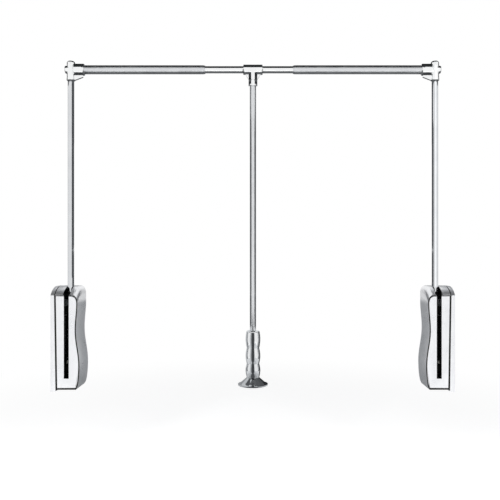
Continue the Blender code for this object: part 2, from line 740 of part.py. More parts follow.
def make_rack_guide(side, frame):
    """Angle behind and beside the rack that keeps it in mesh."""
    back = RACK_ROOT + RACK_BACK + FIT_GAP
    rack_side = GEAR_START + GEAR_WIDTH - RACK_SIDE + FIT_GAP
    nose = TIP_RADIUS + FIT_GAP + SLOT_BACK_GAP
    foot = PIVOT_HEIGHT - PITCH_RADIUS - GUIDE_WALL
    outline = [(PLATE_SEAT, back), (rack_side, back), (rack_side, nose), (rack_side + GUIDE_WALL, nose),
               (rack_side + GUIDE_WALL, back + GUIDE_WALL), (PLATE_SEAT, back + GUIDE_WALL)]
    place = lambda along, p, q: Vector((side_x(side, p), q, along))
    keep(prism(side_name(side) + "_rack_guide", outline, foot, PUSH_PLATE_FOOT - GUIDE_SHORT, place),
         "white_plastic", frame)


def make_lift_spring(side, frame):
    """Open coil between the push plate and the bracket, in one unbroken wire."""
    wire = SPRING_WIRE / 2
    foot = SPRING_FOOT + FIT_GAP + wire
    rise = SPRING_LENGTH - 2 * (FIT_GAP + wire)
    count = SPRING_TURNS * POINTS_PER_CURL
    radius = SPRING_MEAN_DIAMETER / 2
    middle = Vector((side_x(side, RACK_MIDDLE), RACK_LINE, foot))
    lead = math.atan2(rise / SPRING_TURNS, math.pi * SPRING_MEAN_DIAMETER)
    line, rings = [], []
    for i in range(count + 1):
        angle = 2 * math.pi * i / POINTS_PER_CURL
        outward = Vector((math.cos(angle), math.sin(angle), 0.0))
        along = Vector((-math.sin(angle), math.cos(angle), 0.0))
        across = Vector((0.0, 0.0, 1.0)) * math.cos(lead) - along * math.sin(lead)
        point = middle + outward * radius + Vector((0.0, 0.0, rise * i / count))
        line.append(point)
        turns = [2 * math.pi * k / WIRE_SIDES for k in range(WIRE_SIDES)]
        rings.append([point + (outward * math.cos(t) + across * math.sin(t)) * wire for t in turns])
    near = POINTS_PER_CURL // 2
    least = min((a - b).length for i, a in enumerate(line) for b in line[i + near:]) - SPRING_WIRE
    print(f"{side_name(side)} lift spring, least gap between turns: {least * 1000:.2f} mm")
    keep(skin(side_name(side) + "_lift_spring", rings), "dark_spring", frame)


def make_damper_cylinder(side, frame):
    """Blind cylinder that hangs from the bracket inside the spring."""
    bore, radius = DAMPER_ROD_DIAMETER / 2 + FIT_GAP, DAMPER_DIAMETER / 2
    top = BRACKET_FOOT - FIT_GAP
    foot = SPRING_FOOT + RACK_TRAVEL + DAMPER_END_GAP
    profile = [(0, top), (radius, top), (radius, foot), (bore, foot), (bore, top - DAMPER_HEAD),
               (0, top - DAMPER_HEAD)]
    place = upright(side_x(side, RACK_MIDDLE), RACK_LINE)
    keep(turned(side_name(side) + "_damper_cylinder", profile, place, SMALL_SIDES), "black_plastic", frame)


def make_damper_rod(side, frame):
    """Rod on the push plate that slides up into the damper cylinder."""
    top = SPRING_FOOT + RACK_TRAVEL + DAMPER_END_GAP + DAMPER_OVERLAP
    profile = rod_profile(DAMPER_ROD_DIAMETER, SPRING_FOOT + FIT_GAP, top)
    place = upright(side_x(side, RACK_MIDDLE), RACK_LINE)
    keep(turned(side_name(side) + "_damper_rod", profile, place, SMALL_SIDES), "chrome", frame)


def make_spring_bracket(side, frame):
    """Angle on the base plate that the spring pushes up against."""
    reach = BRACKET_SIZE / 2
    inner = RACK_MIDDLE + reach
    outline = [(PLATE_SEAT, BRACKET_FOOT), (inner, BRACKET_FOOT), (inner, BRACKET_FOOT + BRACKET_THICKNESS),
               (PLATE_SEAT + BRACKET_THICKNESS, BRACKET_FOOT + BRACKET_THICKNESS),
               (PLATE_SEAT + BRACKET_THICKNESS, BRACKET_TOP), (PLATE_SEAT, BRACKET_TOP)]
    place = lambda along, p, q: Vector((side_x(side, p), along, q))
    keep(prism(side_name(side) + "_spring_bracket", outline, RACK_LINE - reach, RACK_LINE + reach, place),
         "zinc_steel", frame)


def make_stop(side, frame):
    """Angle behind the lever with the rubber buffer that the upright lever rests on."""
    face = LEVER_REAR + FIT_GAP + BUFFER_LENGTH + FIT_GAP
    inner = ARM_INSET + BUFFER_DIAMETER / 2
    outline = [(PLATE_SEAT, face), (inner, face), (inner, face + BRACKET_THICKNESS),
               (PLATE_SEAT + BRACKET_THICKNESS, face + BRACKET_THICKNESS),
               (PLATE_SEAT + BRACKET_THICKNESS, face + STOP_FLANGE), (PLATE_SEAT, face + STOP_FLANGE)]
    place = lambda along, p, q: Vector((side_x(side, p), q, along))
    bracket = prism(side_name(side) + "_stop_bracket", outline, STOP_MIDDLE - STOP_HEIGHT / 2,
                    STOP_MIDDLE + STOP_HEIGHT / 2, place)
    keep(bracket, "zinc_steel", frame)
    profile = rod_profile(BUFFER_DIAMETER, LEVER_REAR + FIT_GAP, LEVER_REAR + FIT_GAP + BUFFER_LENGTH)
    buffer = turned(side_name(side) + "_stop_buffer", profile,
                    toward_rear(side_x(side, ARM_INSET), STOP_MIDDLE), SMALL_SIDES)
    keep(buffer, "rubber", frame)


def make_elbow(side, frame):
    """Cast corner: upright sleeve on the arm, socket for the rail and a boss for the cap."""
    radius = ELBOW_DIAMETER / 2
    foot, top = RAIL_HEIGHT - ELBOW_DROP, RAIL_HEIGHT + ELBOW_RISE
    quarter = [math.pi / 2 * i / ARC_STEPS for i in range(ARC_STEPS)]
    dome = [(radius - ELBOW_DOME * (1 - math.cos(a)), top - ELBOW_DOME * (1 - math.sin(a))) for a in quarter]
    sleeve = [(0, foot), (radius + ELBOW_FLARE, foot), (radius, foot + ELBOW_FLARE_HEIGHT)]
    sleeve += dome + [(radius - ELBOW_DOME, top), (0, top)]
    arm_x = side_x(side, ARM_INSET)
    elbow = turned(side_name(side) + "_elbow", sleeve, upright(arm_x, 0.0), FITTING_SIDES)
    end, wide = SOCKET_END, SOCKET_DIAMETER / 2
    inner_end = ARM_INSET + radius
    socket = [(0, ARM_INSET), (radius / 2, ARM_INSET), (wide - SOCKET_CHAMFER, inner_end - SOCKET_CHAMFER),
              (wide, inner_end), (wide, end - SOCKET_CHAMFER), (wide - SOCKET_CHAMFER, end), (0, end)]
    about = about_rail_end(side)
    boss = rod_profile(CAP_BOSS_DIAMETER, ARM_INSET - CAP_BOSS_REACH, ARM_INSET)
    web_end = end - SOCKET_CHAMFER - ELBOW_WEB_INSET
    web_foot, web_top = FIT_GAP - ELBOW_DROP, -RAIL_OUTER_DIAMETER / 2
    web = [(ARM_INSET, web_foot), (inner_end, web_foot), (web_end, -ELBOW_WEB_DROP), (web_end, web_top),
           (ARM_INSET, web_top)]
    along_rail = lambda along, p, q: Vector((side_x(side, p), along, RAIL_HEIGHT + q))
    join(elbow, turned("socket", socket, about, FITTING_SIDES), turned("boss", boss, about, FITTING_SIDES),
         prism("web", web, -WEB_THICKNESS / 2, WEB_THICKNESS / 2, along_rail), solver="MANIFOLD")
    arm_bore = rod_profile(ARM_DIAMETER + 2 * FIT_GAP, foot - ELBOW_DROP, RAIL_HEIGHT - ARM_BORE_DROP)
    rail_bore = rod_profile(RAIL_OUTER_DIAMETER + 2 * FIT_GAP, end - SOCKET_DEPTH, end + SOCKET_DEPTH)
    plug_bore = rod_profile(CAP_PLUG_DIAMETER + 2 * FIT_GAP, ARM_INSET - 2 * CAP_BOSS_REACH,
                            ARM_INSET - CAP_BOSS_REACH + CAP_PLUG_LENGTH + FIT_GAP)
    screw_bore = rod_profile(SET_SCREW_DIAMETER + 2 * FIT_GAP, 0.0, SOCKET_DIAMETER)
    screw_x = side_x(side, end - SET_SCREW_INSET)
    cut(elbow, turned("arm_bore", arm_bore, upright(arm_x, 0.0), TUBE_SIDES),
        turned("rail_bore", rail_bore, about, TUBE_SIDES),
        turned("plug_bore", plug_bore, about, SMALL_SIDES),
        turned("screw_bore", screw_bore, toward_rear(screw_x, RAIL_HEIGHT), SMALL_SIDES), solver="MANIFOLD")
    keep(elbow, "chrome", frame)


def make_elbow_cap(side, frame):
    """Plug with a low round head over the elbow's outer boss."""
    face = ARM_INSET - CAP_BOSS_REACH - FIT_GAP
    radius, plug = CAP_DIAMETER / 2, CAP_PLUG_DIAMETER / 2
    low, end = face - CAP_HEIGHT, face + CAP_PLUG_LENGTH
    profile = [(0, low), (radius - CAP_HEIGHT, low), (radius, face - CAP_HEIGHT / 2), (radius, face),
               (plug, face), (plug, end), (0, end)]
    cap = turned(side_name(side) + "_elbow_cap", profile, about_rail_end(side), FITTING_SIDES)
    keep(cap, "chrome", frame)


def make_set_screw(side, frame):
    """Grub screw in the rear of the socket that clamps the rail tube."""
    low, high = RAIL_OUTER_DIAMETER / 2 + FIT_GAP, SOCKET_DIAMETER / 2 - FIT_GAP
    profile = rod_profile(SET_SCREW_DIAMETER, low, high)
    place = toward_rear(side_x(side, SOCKET_END - SET_SCREW_INSET), RAIL_HEIGHT)
    keep(turned(side_name(side) + "_set_screw", profile, place, SMALL_SIDES), "zinc_steel", frame)


def make_outer_tube(side, frame, mouth):
    """Outer rail tube from its socket to the drawn-in mouth, with the guide bush behind it."""
    radius = RAIL_OUTER_DIAMETER / 2
    bore = radius - RAIL_WALL
    start = HALF_WIDTH - (SOCKET_END - SOCKET_DEPTH + FIT_GAP)
    neck = mouth + MOUTH_LENGTH
    profile = [(bore, start), (radius, start), (radius, neck), (radius - MOUTH_TAPER, mouth),
               (bore - MOUTH_TAPER, mouth), (bore, neck)]
    place = lambda along, p, q: about_rail(side * along, p, q)
    keep(turned(side_name(side) + "_rail_outer_tube", profile, place, TUBE_SIDES), "satin_steel", frame)
    inside, outside = RAIL_INNER_DIAMETER / 2 + GUIDE_GAP, bore - GUIDE_GAP
    low, high = neck + FIT_GAP, neck + FIT_GAP + GUIDE_BUSH_LENGTH
    ring = [(inside, low), (outside, low), (outside, high), (inside, high)]
    keep(turned(side_name(side) + "_rail_guide_bush", ring, place, TUBE_SIDES), "black_plastic", frame)


def make_inner_tube(frame):
    """Inner rail tube that runs into both outer tubes."""
    profile = tube_profile(RAIL_INNER_DIAMETER, RAIL_WALL, -LEFT_MOUTH - LEFT_INSERTION,
                           RIGHT_MOUTH + RIGHT_INSERTION)
    keep(turned("rail_inner_tube", profile, about_rail, TUBE_SIDES), "chrome", frame)


def make_tee(frame):
    """Tee that turns on the inner tube, with the stem that takes the pull rod."""
    half, radius = TEE_LENGTH / 2, TEE_DIAMETER / 2
    sleeve = [(0, -half), (radius - TEE_CHAMFER, -half), (radius, -half + TEE_CHAMFER),
              (radius, half - TEE_CHAMFER), (radius - TEE_CHAMFER, half), (0, half)]
    stem_radius, foot = STEM_DIAMETER / 2, RAIL_HEIGHT - STEM_DROP
    stem = [(0, RAIL_HEIGHT), (stem_radius, RAIL_HEIGHT), (stem_radius, foot + STEM_CHAMFER),
            (stem_radius - STEM_CHAMFER, foot), (0, foot)]
    tee = turned("tee_fitting", sleeve, about_rail, FITTING_SIDES)
    middle = upright(0.0, 0.0)
    web_half = half - TEE_WEB_INSET
    web = [(-web_half, -RAIL_INNER_DIAMETER / 2), (-ROD_DIAMETER / 2, -TEE_WEB_DROP),
           (ROD_DIAMETER / 2, -TEE_WEB_DROP), (web_half, -RAIL_INNER_DIAMETER / 2)]
    along_rail = lambda along, p, q: Vector((p, along, RAIL_HEIGHT + q))
    join(tee, turned("stem", stem, middle, FITTING_SIDES),
         prism("web", web, -WEB_THICKNESS / 2, WEB_THICKNESS / 2, along_rail), solver="MANIFOLD")
    rail_bore = rod_profile(RAIL_INNER_DIAMETER + 2 * FIT_GAP, -TEE_LENGTH, TEE_LENGTH)
    rod_bore = rod_profile(ROD_DIAMETER + 2 * FIT_GAP, foot - STEM_DROP, RAIL_HEIGHT - ROD_SEAT_DROP)
    screw_bore = rod_profile(SET_SCREW_DIAMETER + 2 * FIT_GAP, 0.0, STEM_DIAMETER)
    screw_place = toward_rear(0.0, RAIL_HEIGHT - TEE_SCREW_DROP)
    cut(tee, turned("rail_bore", rail_bore, about_rail, TUBE_SIDES),
        turned("rod_bore", rod_bore, middle, TUBE_SIDES),
        turned("screw_bore", screw_bore, screw_place, SMALL_SIDES), solver="MANIFOLD")
    keep(tee, "chrome", frame)
    profile = rod_profile(SET_SCREW_DIAMETER, ROD_DIAMETER / 2 + FIT_GAP, STEM_DIAMETER / 2 - FIT_GAP)
    keep(turned("tee_set_screw", profile, screw_place, SMALL_SIDES), "zinc_steel", frame)


def make_pull_rod(frame):
    """Tube from the tee down through the grip to the bell."""
    profile = tube_profile(ROD_DIAMETER, ROD_WALL, BELL_SEAT, RAIL_HEIGHT - ROD_SEAT_DROP - FIT_GAP)
    keep(turned("pull_rod", profile, upright(0.0, 0.0), TUBE_SIDES), "satin_steel", frame)


def make_grip(frame):
    """Turned grip of three bulges with two waists."""
    waist, swell = GRIP_WAIST_DIAMETER / 2, (GRIP_BULGE_DIAMETER - GRIP_WAIST_DIAMETER) / 2
    levels = (GRIP_FOOT, GRIP_LOWER_WAIST, GRIP_UPPER_WAIST, GRIP_TOP)
    bore = ROD_DIAMETER / 2 + FIT_GAP
    profile = [(bore, GRIP_TOP), (bore, GRIP_FOOT)]
    for low, high in zip(levels, levels[1:]):
        for i in range(BULGE_STEPS):
            part = i / BULGE_STEPS
            profile.append((waist + swell * math.sin(math.pi * part), low + (high - low) * part))
    shoulder = [(r, z) for r, z in profile if z <= GRIP_TOP - GRIP_TOP_ROUND or r == bore]
    edge = shoulder[-1][0]
    for i in range(1, ARC_STEPS + 1):
        angle = math.pi / 2 * i / ARC_STEPS
        drop = GRIP_TOP_ROUND * (1 - math.cos(angle))
        shoulder.append((edge - drop, GRIP_TOP - GRIP_TOP_ROUND * (1 - math.sin(angle))))
    keep(turned("grip", shoulder, upright(0.0, 0.0), HANDLE_SIDES), "chrome", frame)


def make_bell(frame):
    """Guard under the grip: a straight cone with a flatter brim, hollow from below."""
    top, neck, rim = GRIP_FOOT - FIT_GAP, BELL_NECK_DIAMETER / 2, BELL_DIAMETER / 2
    cone = BELL_CONE_DIAMETER / 2
    bore = ROD_DIAMETER / 2 + FIT_GAP
    outer = [(neck, top)]
    for i in range(ARC_STEPS + 1):
        part = i / ARC_STEPS
        fall = BRIM_FALL * math.sin(math.pi / 2 * part)
        outer.append((cone + (rim - cone) * part, BELL_CONE_FOOT - fall))
    hollow = END_SCREW_HEAD_DIAMETER / 2 + FIT_GAP
    lip = rim - BELL_WALL
    inner = [(lip, BELL_FOOT), (hollow, BELL_SEAT), (bore, BELL_SEAT)]
    profile = [(bore, top)] + outer + [(rim, BELL_FOOT)] + inner
    keep(turned("bell", profile, upright(0.0, 0.0), HANDLE_SIDES), "chrome", frame)


def make_end_screw(frame):
    """Screw plug in the rod's foot whose head carries the bell and grip."""
    head, plug = END_SCREW_HEAD_DIAMETER / 2, ROD_DIAMETER / 2 - ROD_WALL - FIT_GAP
    face = BELL_SEAT - FIT_GAP
    profile = [(0, face - END_SCREW_HEAD), (head - END_SCREW_HEAD / 2, face - END_SCREW_HEAD),
               (head, face - END_SCREW_HEAD / 2), (head, face), (plug, face),
               (plug, face + END_SCREW_PLUG), (0, face + END_SCREW_PLUG)]
    keep(turned("rod_end_screw", profile, upright(0.0, 0.0), TUBE_SIDES), "zinc_steel", frame)


def make_side(side, housing, swing, rack):
    """All pieces of one side, hung on its housing, its swinging arm and its sliding rack."""
    for make in (make_tray, make_base_plate, make_cover, make_cover_screws, make_pivot_shaft,
                 make_retaining_clip, make_bushes, make_rack_guide, make_lift_spring,
                 make_damper_cylinder, make_spring_bracket, make_stop):
        make(side, housing)
    for make in (make_rack, make_damper_rod):
        make(side, rack)
    for make in (make_lever, make_arm, make_elbow, make_elbow_cap, make_set_screw):
        make(side, swing)
    make_outer_tube(side, swing, LEFT_MOUTH if side < 0 else RIGHT_MOUTH)


def main():
    """Build the whole rail."""
    clear_scene()
    for side in (-1, 1):
        word = side_name(side)
        foot = Vector((side_x(side, 0.0), 0.0, 0.0))
        pivot = Vector((side_x(side, ARM_INSET), 0.0, PIVOT_HEIGHT))
        line = Vector((side_x(side, RACK_MIDDLE), RACK_LINE, PIVOT_HEIGHT))
        make_side(side, joint_frame(word + "_housing_frame", foot), joint_frame(word + "_swing_axis", pivot),
                  joint_frame(word + "_rack_line", line))
    rail = joint_frame("rail_slide_line", Vector((0.0, 0.0, RAIL_HEIGHT)))
    rod = joint_frame("pull_rod_axis", Vector((0.0, 0.0, RAIL_HEIGHT)))
    make_inner_tube(rail)
    for make in (make_tee, make_pull_rod, make_grip, make_bell, make_end_screw):
        make(rod)
    print(f"{len(PIECES)} pieces")


main()
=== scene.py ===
"""Looks of the pull-down clothes rail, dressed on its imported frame.

Metres in the part's own frame: X to the user's right, Y away from the user, Z up from the floor.
Inside a housing, depth in X is counted inward from the outer face that screws to the wardrobe.
"""

import logging
import math
from dataclasses import dataclass
from enum import Enum
from typing import Callable, Iterable, Sequence

import bmesh
import bpy
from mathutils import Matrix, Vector


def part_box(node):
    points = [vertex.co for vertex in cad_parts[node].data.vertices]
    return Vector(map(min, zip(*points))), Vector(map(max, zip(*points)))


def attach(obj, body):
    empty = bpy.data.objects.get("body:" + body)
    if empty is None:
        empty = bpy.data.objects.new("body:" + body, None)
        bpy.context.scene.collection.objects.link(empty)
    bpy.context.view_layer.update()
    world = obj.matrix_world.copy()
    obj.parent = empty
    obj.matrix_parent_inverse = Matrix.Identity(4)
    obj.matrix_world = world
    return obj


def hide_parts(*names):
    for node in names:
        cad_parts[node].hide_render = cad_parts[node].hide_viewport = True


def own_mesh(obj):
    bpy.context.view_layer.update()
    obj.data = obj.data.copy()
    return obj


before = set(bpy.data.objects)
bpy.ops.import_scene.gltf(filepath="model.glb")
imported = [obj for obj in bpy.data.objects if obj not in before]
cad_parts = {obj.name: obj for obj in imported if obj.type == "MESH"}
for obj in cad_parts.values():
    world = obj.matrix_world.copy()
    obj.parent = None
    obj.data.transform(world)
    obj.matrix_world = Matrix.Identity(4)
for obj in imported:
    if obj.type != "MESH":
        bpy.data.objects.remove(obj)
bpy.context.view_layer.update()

LOG = logging.getLogger("clothes_rail")
MM = 0.001
IMAGE_PIXELS = 500

Point = tuple[float, float]
Triple = tuple[float, float, float]
Depth = Callable[[float, float], float]
Placer = Callable[[float, float, float], Vector]
Piece = bpy.types.Object
Loop = Sequence[bmesh.types.BMVert]


class Side(Enum):
    """The two sides of the rail, as the user sees them."""

    LEFT = -1
    RIGHT = 1

    @property
    def word(self) -> str:
        """Name of the side as the nodes write it."""
        return self.name.lower()

    def x(self, depth: float) -> float:
        """X of a point that lies depth inside this side's outer face."""
        return self.value * (HALF_WIDTH - depth)


class Role(Enum):
    """What a new piece's finish is for, with the record's slot that it belongs to."""

    SHELL = "silver_plastic"
    CHROME = "chrome"
    SATIN = "satin_steel"
    SPRING = "dark_steel"
    # Slot of the black strip in the housings' seam, which is painted shade.
    RUBBER = "rubber"


HALF_WIDTH = 0.510
ARM_DEPTH = 0.040
RAIL_HEIGHT = 0.823
FIT_GAP = 0.0003
SMOOTH_ANGLE = math.radians(35.0)
# Sides of turned shapes: most of them, the wide ones of the handle, and small bores.
TURNED_SIDES = 96
FINE_SIDES = 128
BORE_SIDES = 32
# Most of a leg that the round at one of its ends may take.
LEG_SHARE = 0.48
# Detail of the two noises in a finish, and the part of their product that spans its tint and its gloss.
GRAIN_DETAIL, MOTTLE_DETAIL = 3.0, 2.0
TINT_SPAN = (0.12, 0.36)
GLOSS_SPAN = (0.1, 0.4)


def linear(code: str) -> tuple[float, float, float, float]:
    """Turn an sRGB hex colour into linear values.

    Args:
        code: six hex digits, with or without a leading hash.

    Returns:
        Linear red, green, blue and an alpha of one.
    """
    digits = code.lstrip("#")
    parts = [int(digits[i:i + 2], 16) / 255 for i in (0, 2, 4)]
    red, green, blue = (p / 12.92 if p <= 0.04045 else ((p + 0.055) / 1.055) ** 2.4 for p in parts)
    return (red, green, blue, 1.0)


def node(tree: bpy.types.NodeTree, kind: str, inputs: dict | None = None,
         **settings: object) -> bpy.types.Node:
    """Add a shader node with its settings, values and links.

    Args:
        tree: node tree that takes the node.
        kind: Blender's type name of the node.
        inputs: socket name or number to a value, or to an output socket that is linked in.
        **settings: attributes set on the node itself.

    Returns:
        The new node.
    """
    made = tree.nodes.new(kind)
    for key, value in settings.items():
        setattr(made, key, value)
    for key, value in (inputs or {}).items():
        socket = made.inputs[key]
        if isinstance(value, bpy.types.NodeSocket):
            tree.links.new(value, socket)
        else:
            socket.default_value = value
    return made


def maths(tree: bpy.types.NodeTree, operation: str, first: bpy.types.NodeSocket,
          second: bpy.types.NodeSocket) -> bpy.types.NodeSocket:
    """Join two values by a maths node, named as Blender names the operation."""
    return node(tree, "ShaderNodeMath", {0: first, 1: second}, operation=operation).outputs[0]


def ramp(tree: bpy.types.NodeTree, factor: bpy.types.NodeSocket,
         stops: Sequence[tuple[float, str]]) -> bpy.types.NodeSocket:
    """Colour ramp over a factor.

    Args:
        tree: node tree that takes the ramp.
        factor: socket with the value that is looked up.
        stops: (place, hex colour) pairs in rising order.

    Returns:
        The ramp's colour socket.
    """
    made = node(tree, "ShaderNodeValToRGB", {"Fac": factor})
    elements = made.color_ramp.elements
    while len(elements) < len(stops):
        elements.new(0.5)
    for element, (place, code) in zip(elements, stops):
        element.position = place
        element.color = linear(code)
    return made.outputs["Color"]


@dataclass(frozen=True)
class Finish:
    """One real surface finish, made into a procedural material.

    The grain is a noise in object space; stretch is the share of its scale that is left along each
    axis, so a small share along X draws it into lines along X.
    """

    name: str
    light: str
    dark: str
    metallic: float
    rough_low: float
    rough_high: float
    grain_mm: float
    bump_mm: float
    stretch: Triple = (1.0, 1.0, 1.0)
    coat: float = 0.0
    round_mm: float = 0.0
    mottle_mm: float = 40.0

    def material(self) -> bpy.types.Material:
        """Make the material, or give back the one made before.

        Returns:
            The finish as a node material.
        """
        made = bpy.data.materials.get(self.name)
        if made:
            return made
        made = bpy.data.materials.new(self.name)
        made.use_nodes = True
        made.diffuse_color = linear(self.light)
        tree = made.node_tree
        shader = tree.nodes["Principled BSDF"]
        shader.inputs["Metallic"].default_value = self.metallic
        shader.inputs["Coat Weight"].default_value = self.coat
        place = node(tree, "ShaderNodeTexCoord").outputs["Object"]
        drawn = node(tree, "ShaderNodeMapping", {"Vector": place, "Scale": self.stretch}).outputs["Vector"]
        grain = node(tree, "ShaderNodeTexNoise", {"Vector": drawn, "Scale": 1 / (self.grain_mm * MM),
                                                  "Detail": GRAIN_DETAIL}).outputs["Fac"]
        mottle = node(tree, "ShaderNodeTexNoise", {"Vector": place, "Scale": 1 / (self.mottle_mm * MM),
                                                   "Detail": MOTTLE_DETAIL}).outputs["Fac"]
        blend = maths(tree, "MULTIPLY", grain, mottle)
        tint = ramp(tree, blend, ((TINT_SPAN[0], self.dark), (TINT_SPAN[1], self.light)))
        tree.links.new(tint, shader.inputs["Base Color"])
        rough = node(tree, "ShaderNodeMapRange", {"Value": blend, "From Min": GLOSS_SPAN[0],
                                                  "From Max": GLOSS_SPAN[1], "To Min": self.rough_low,
                                                  "To Max": self.rough_high})
        tree.links.new(rough.outputs["Result"], shader.inputs["Roughness"])
        normal = {}
        if self.round_mm:
            normal["Normal"] = node(tree, "ShaderNodeBevel", {"Radius": self.round_mm * MM}).outputs["Normal"]
        bump = node(tree, "ShaderNodeBump", {"Height": grain, "Strength": 1.0,
                                             "Distance": self.bump_mm * MM, **normal})
        tree.links.new(bump.outputs["Normal"], shader.inputs["Normal"])
        return made


# Painted ABS, moulded and sprayed silver: pale and even, with a fine sparkle and a soft gloss.
PAINTED_ABS = Finish("painted_abs_silver", "#F3F4F6", "#EBECEF", 0.85, 0.26, 0.34, 0.9, 0.003, coat=0.2)
# The same ABS unpainted inside the shell: near black, dull. It is also painted shade: it darkens the slot,
# and it paints the black line in the gap round the front panel.
BARE_ABS_AND_SHADE = Finish("bare_abs_black_and_shade", "#101011", "#0A0A0B", 0.0, 0.5, 0.65, 1.2, 0.01)
# Chromed steel tube, polished: mirror with the faint drawing lines along the tube's length in Z.
CHROME_TUBE = Finish("chromed_steel_tube", "#DCDEE0", "#D2D4D7", 1.0, 0.10, 0.18, 0.8, 0.0008,
                     stretch=(1.0, 1.0, 0.04))
# The telescopic inner tube, chromed and polished, lines along X.
CHROME_RAIL = Finish("chromed_rail_tube", "#F6F7F7", "#EEEFF0", 1.0, 0.06, 0.12, 0.8, 0.0006,
                     stretch=(0.04, 1.0, 1.0))
# Satin chrome on the outer rail tubes: soft grey, blurred reflections, lines along X.
SATIN_RAIL = Finish("satin_chrome_rail", "#DEE0E2", "#D4D6D9", 1.0, 0.32, 0.40, 0.6, 0.0003,
                    stretch=(0.03, 1.0, 1.0))
# Satin chrome on the pull rod, lines along Z.
SATIN_ROD = Finish("satin_chrome_rod", "#E4E6E8", "#D8DADC", 1.0, 0.30, 0.38, 0.6, 0.0008,
                   stretch=(1.0, 1.0, 0.03))
# Chromed zinc casting: bright mirror whose edges are rounded by tumbling.
CAST_CHROME = Finish("chromed_zinc_casting", "#F7F8F8", "#EDEEEF", 1.0, 0.04, 0.09, 2.5, 0.002, round_mm=0.9)
# Chromed turned handle: the brightest mirror on the rail, only the plating's faint waviness.
TURNED_CHROME = Finish("chromed_turned_brass", "#EDEEEF", "#E0E2E4", 1.0, 0.04, 0.08, 3.0, 0.001)
# Zinc-plated pressed steel: dull blue-grey with a mottled spangle.
ZINC_PLATE = Finish("zinc_plated_steel", "#B9BDBF", "#9DA2A5", 1.0, 0.32, 0.48, 2.0, 0.004, mottle_mm=9.0)
# Oil-blackened steel: deep brown-black with a weak sheen.
BLACK_STEEL = Finish("oil_blackened_steel", "#1E1D1D", "#121212", 0.8, 0.38, 0.55, 1.0, 0.004)
# Music wire of the lift springs: dark grey, drawn smooth.
SPRING_WIRE = Finish("drawn_spring_wire", "#5A5C5E", "#434547", 1.0, 0.28, 0.4, 0.7, 0.002)
# Acetal guides and dampers, moulded black.
BLACK_ACETAL = Finish("moulded_acetal_black", "#17181A", "#101113", 0.0, 0.38, 0.5, 0.8, 0.006)
# Acetal bushes, moulded natural white.
WHITE_ACETAL = Finish("moulded_acetal_white", "#E4E3DC", "#D6D5CD", 0.0, 0.36, 0.5, 0.8, 0.006)
# Moulded rubber: black, dull, faintly grained. It also makes the black strip in the housings' seam, which is
# painted shade in the gap between tray and cover.
RUBBER_AND_SEAM_SHADE = Finish("moulded_rubber_and_seam_shade", "#151515", "#0E0E0E", 0.0, 0.7, 0.9, 0.6, 0.02)

NODE_FINISHES = {
    "base_plate": ZINC_PLATE, "cover_screw_lower": ZINC_PLATE, "cover_screw_upper": ZINC_PLATE,
    "pivot_shaft": ZINC_PLATE, "retaining_clip": SPRING_WIRE, "pivot_bush_outer": WHITE_ACETAL,
    "pivot_bush_inner": WHITE_ACETAL, "rack_guide": WHITE_ACETAL, "damper_cylinder": BLACK_ACETAL,
    "spring_bracket": ZINC_PLATE, "stop_bracket": ZINC_PLATE, "stop_buffer": RUBBER_AND_SEAM_SHADE,
    "rack": BLACK_ACETAL, "damper_rod": CHROME_TUBE, "geared_lever": BLACK_STEEL, "arm_pin": ZINC_PLATE,
    "set_screw": ZINC_PLATE, "rail_guide_bush": BLACK_ACETAL,
}
CENTRE_FINISHES = {"tee_set_screw": ZINC_PLATE, "rod_end_screw": ZINC_PLATE}


def linked(name: str, data: bpy.types.ID) -> Piece:
    """Make an object of a mesh, lamp or camera and link it to the scene.

    Args:
        name: name of the new object.
        data: what the object shows.

    Returns:
        The new object.
    """
    made = bpy.data.objects.new(name, data)
    bpy.context.collection.objects.link(made)
    return made


def bare_tree(owner: bpy.types.Material | bpy.types.World) -> bpy.types.NodeTree:
    """Give a material or world an empty node tree.

    Args:
        owner: what takes the nodes.

    Returns:
        Its node tree.
    """
    owner.use_nodes = True
    owner.node_tree.nodes.clear()
    return owner.node_tree


def quarter(steps: int) -> list[float]:
    """Angles of a quarter turn in equal steps, both ends included."""
    return [math.pi / 2 * i / steps for i in range(steps + 1)]


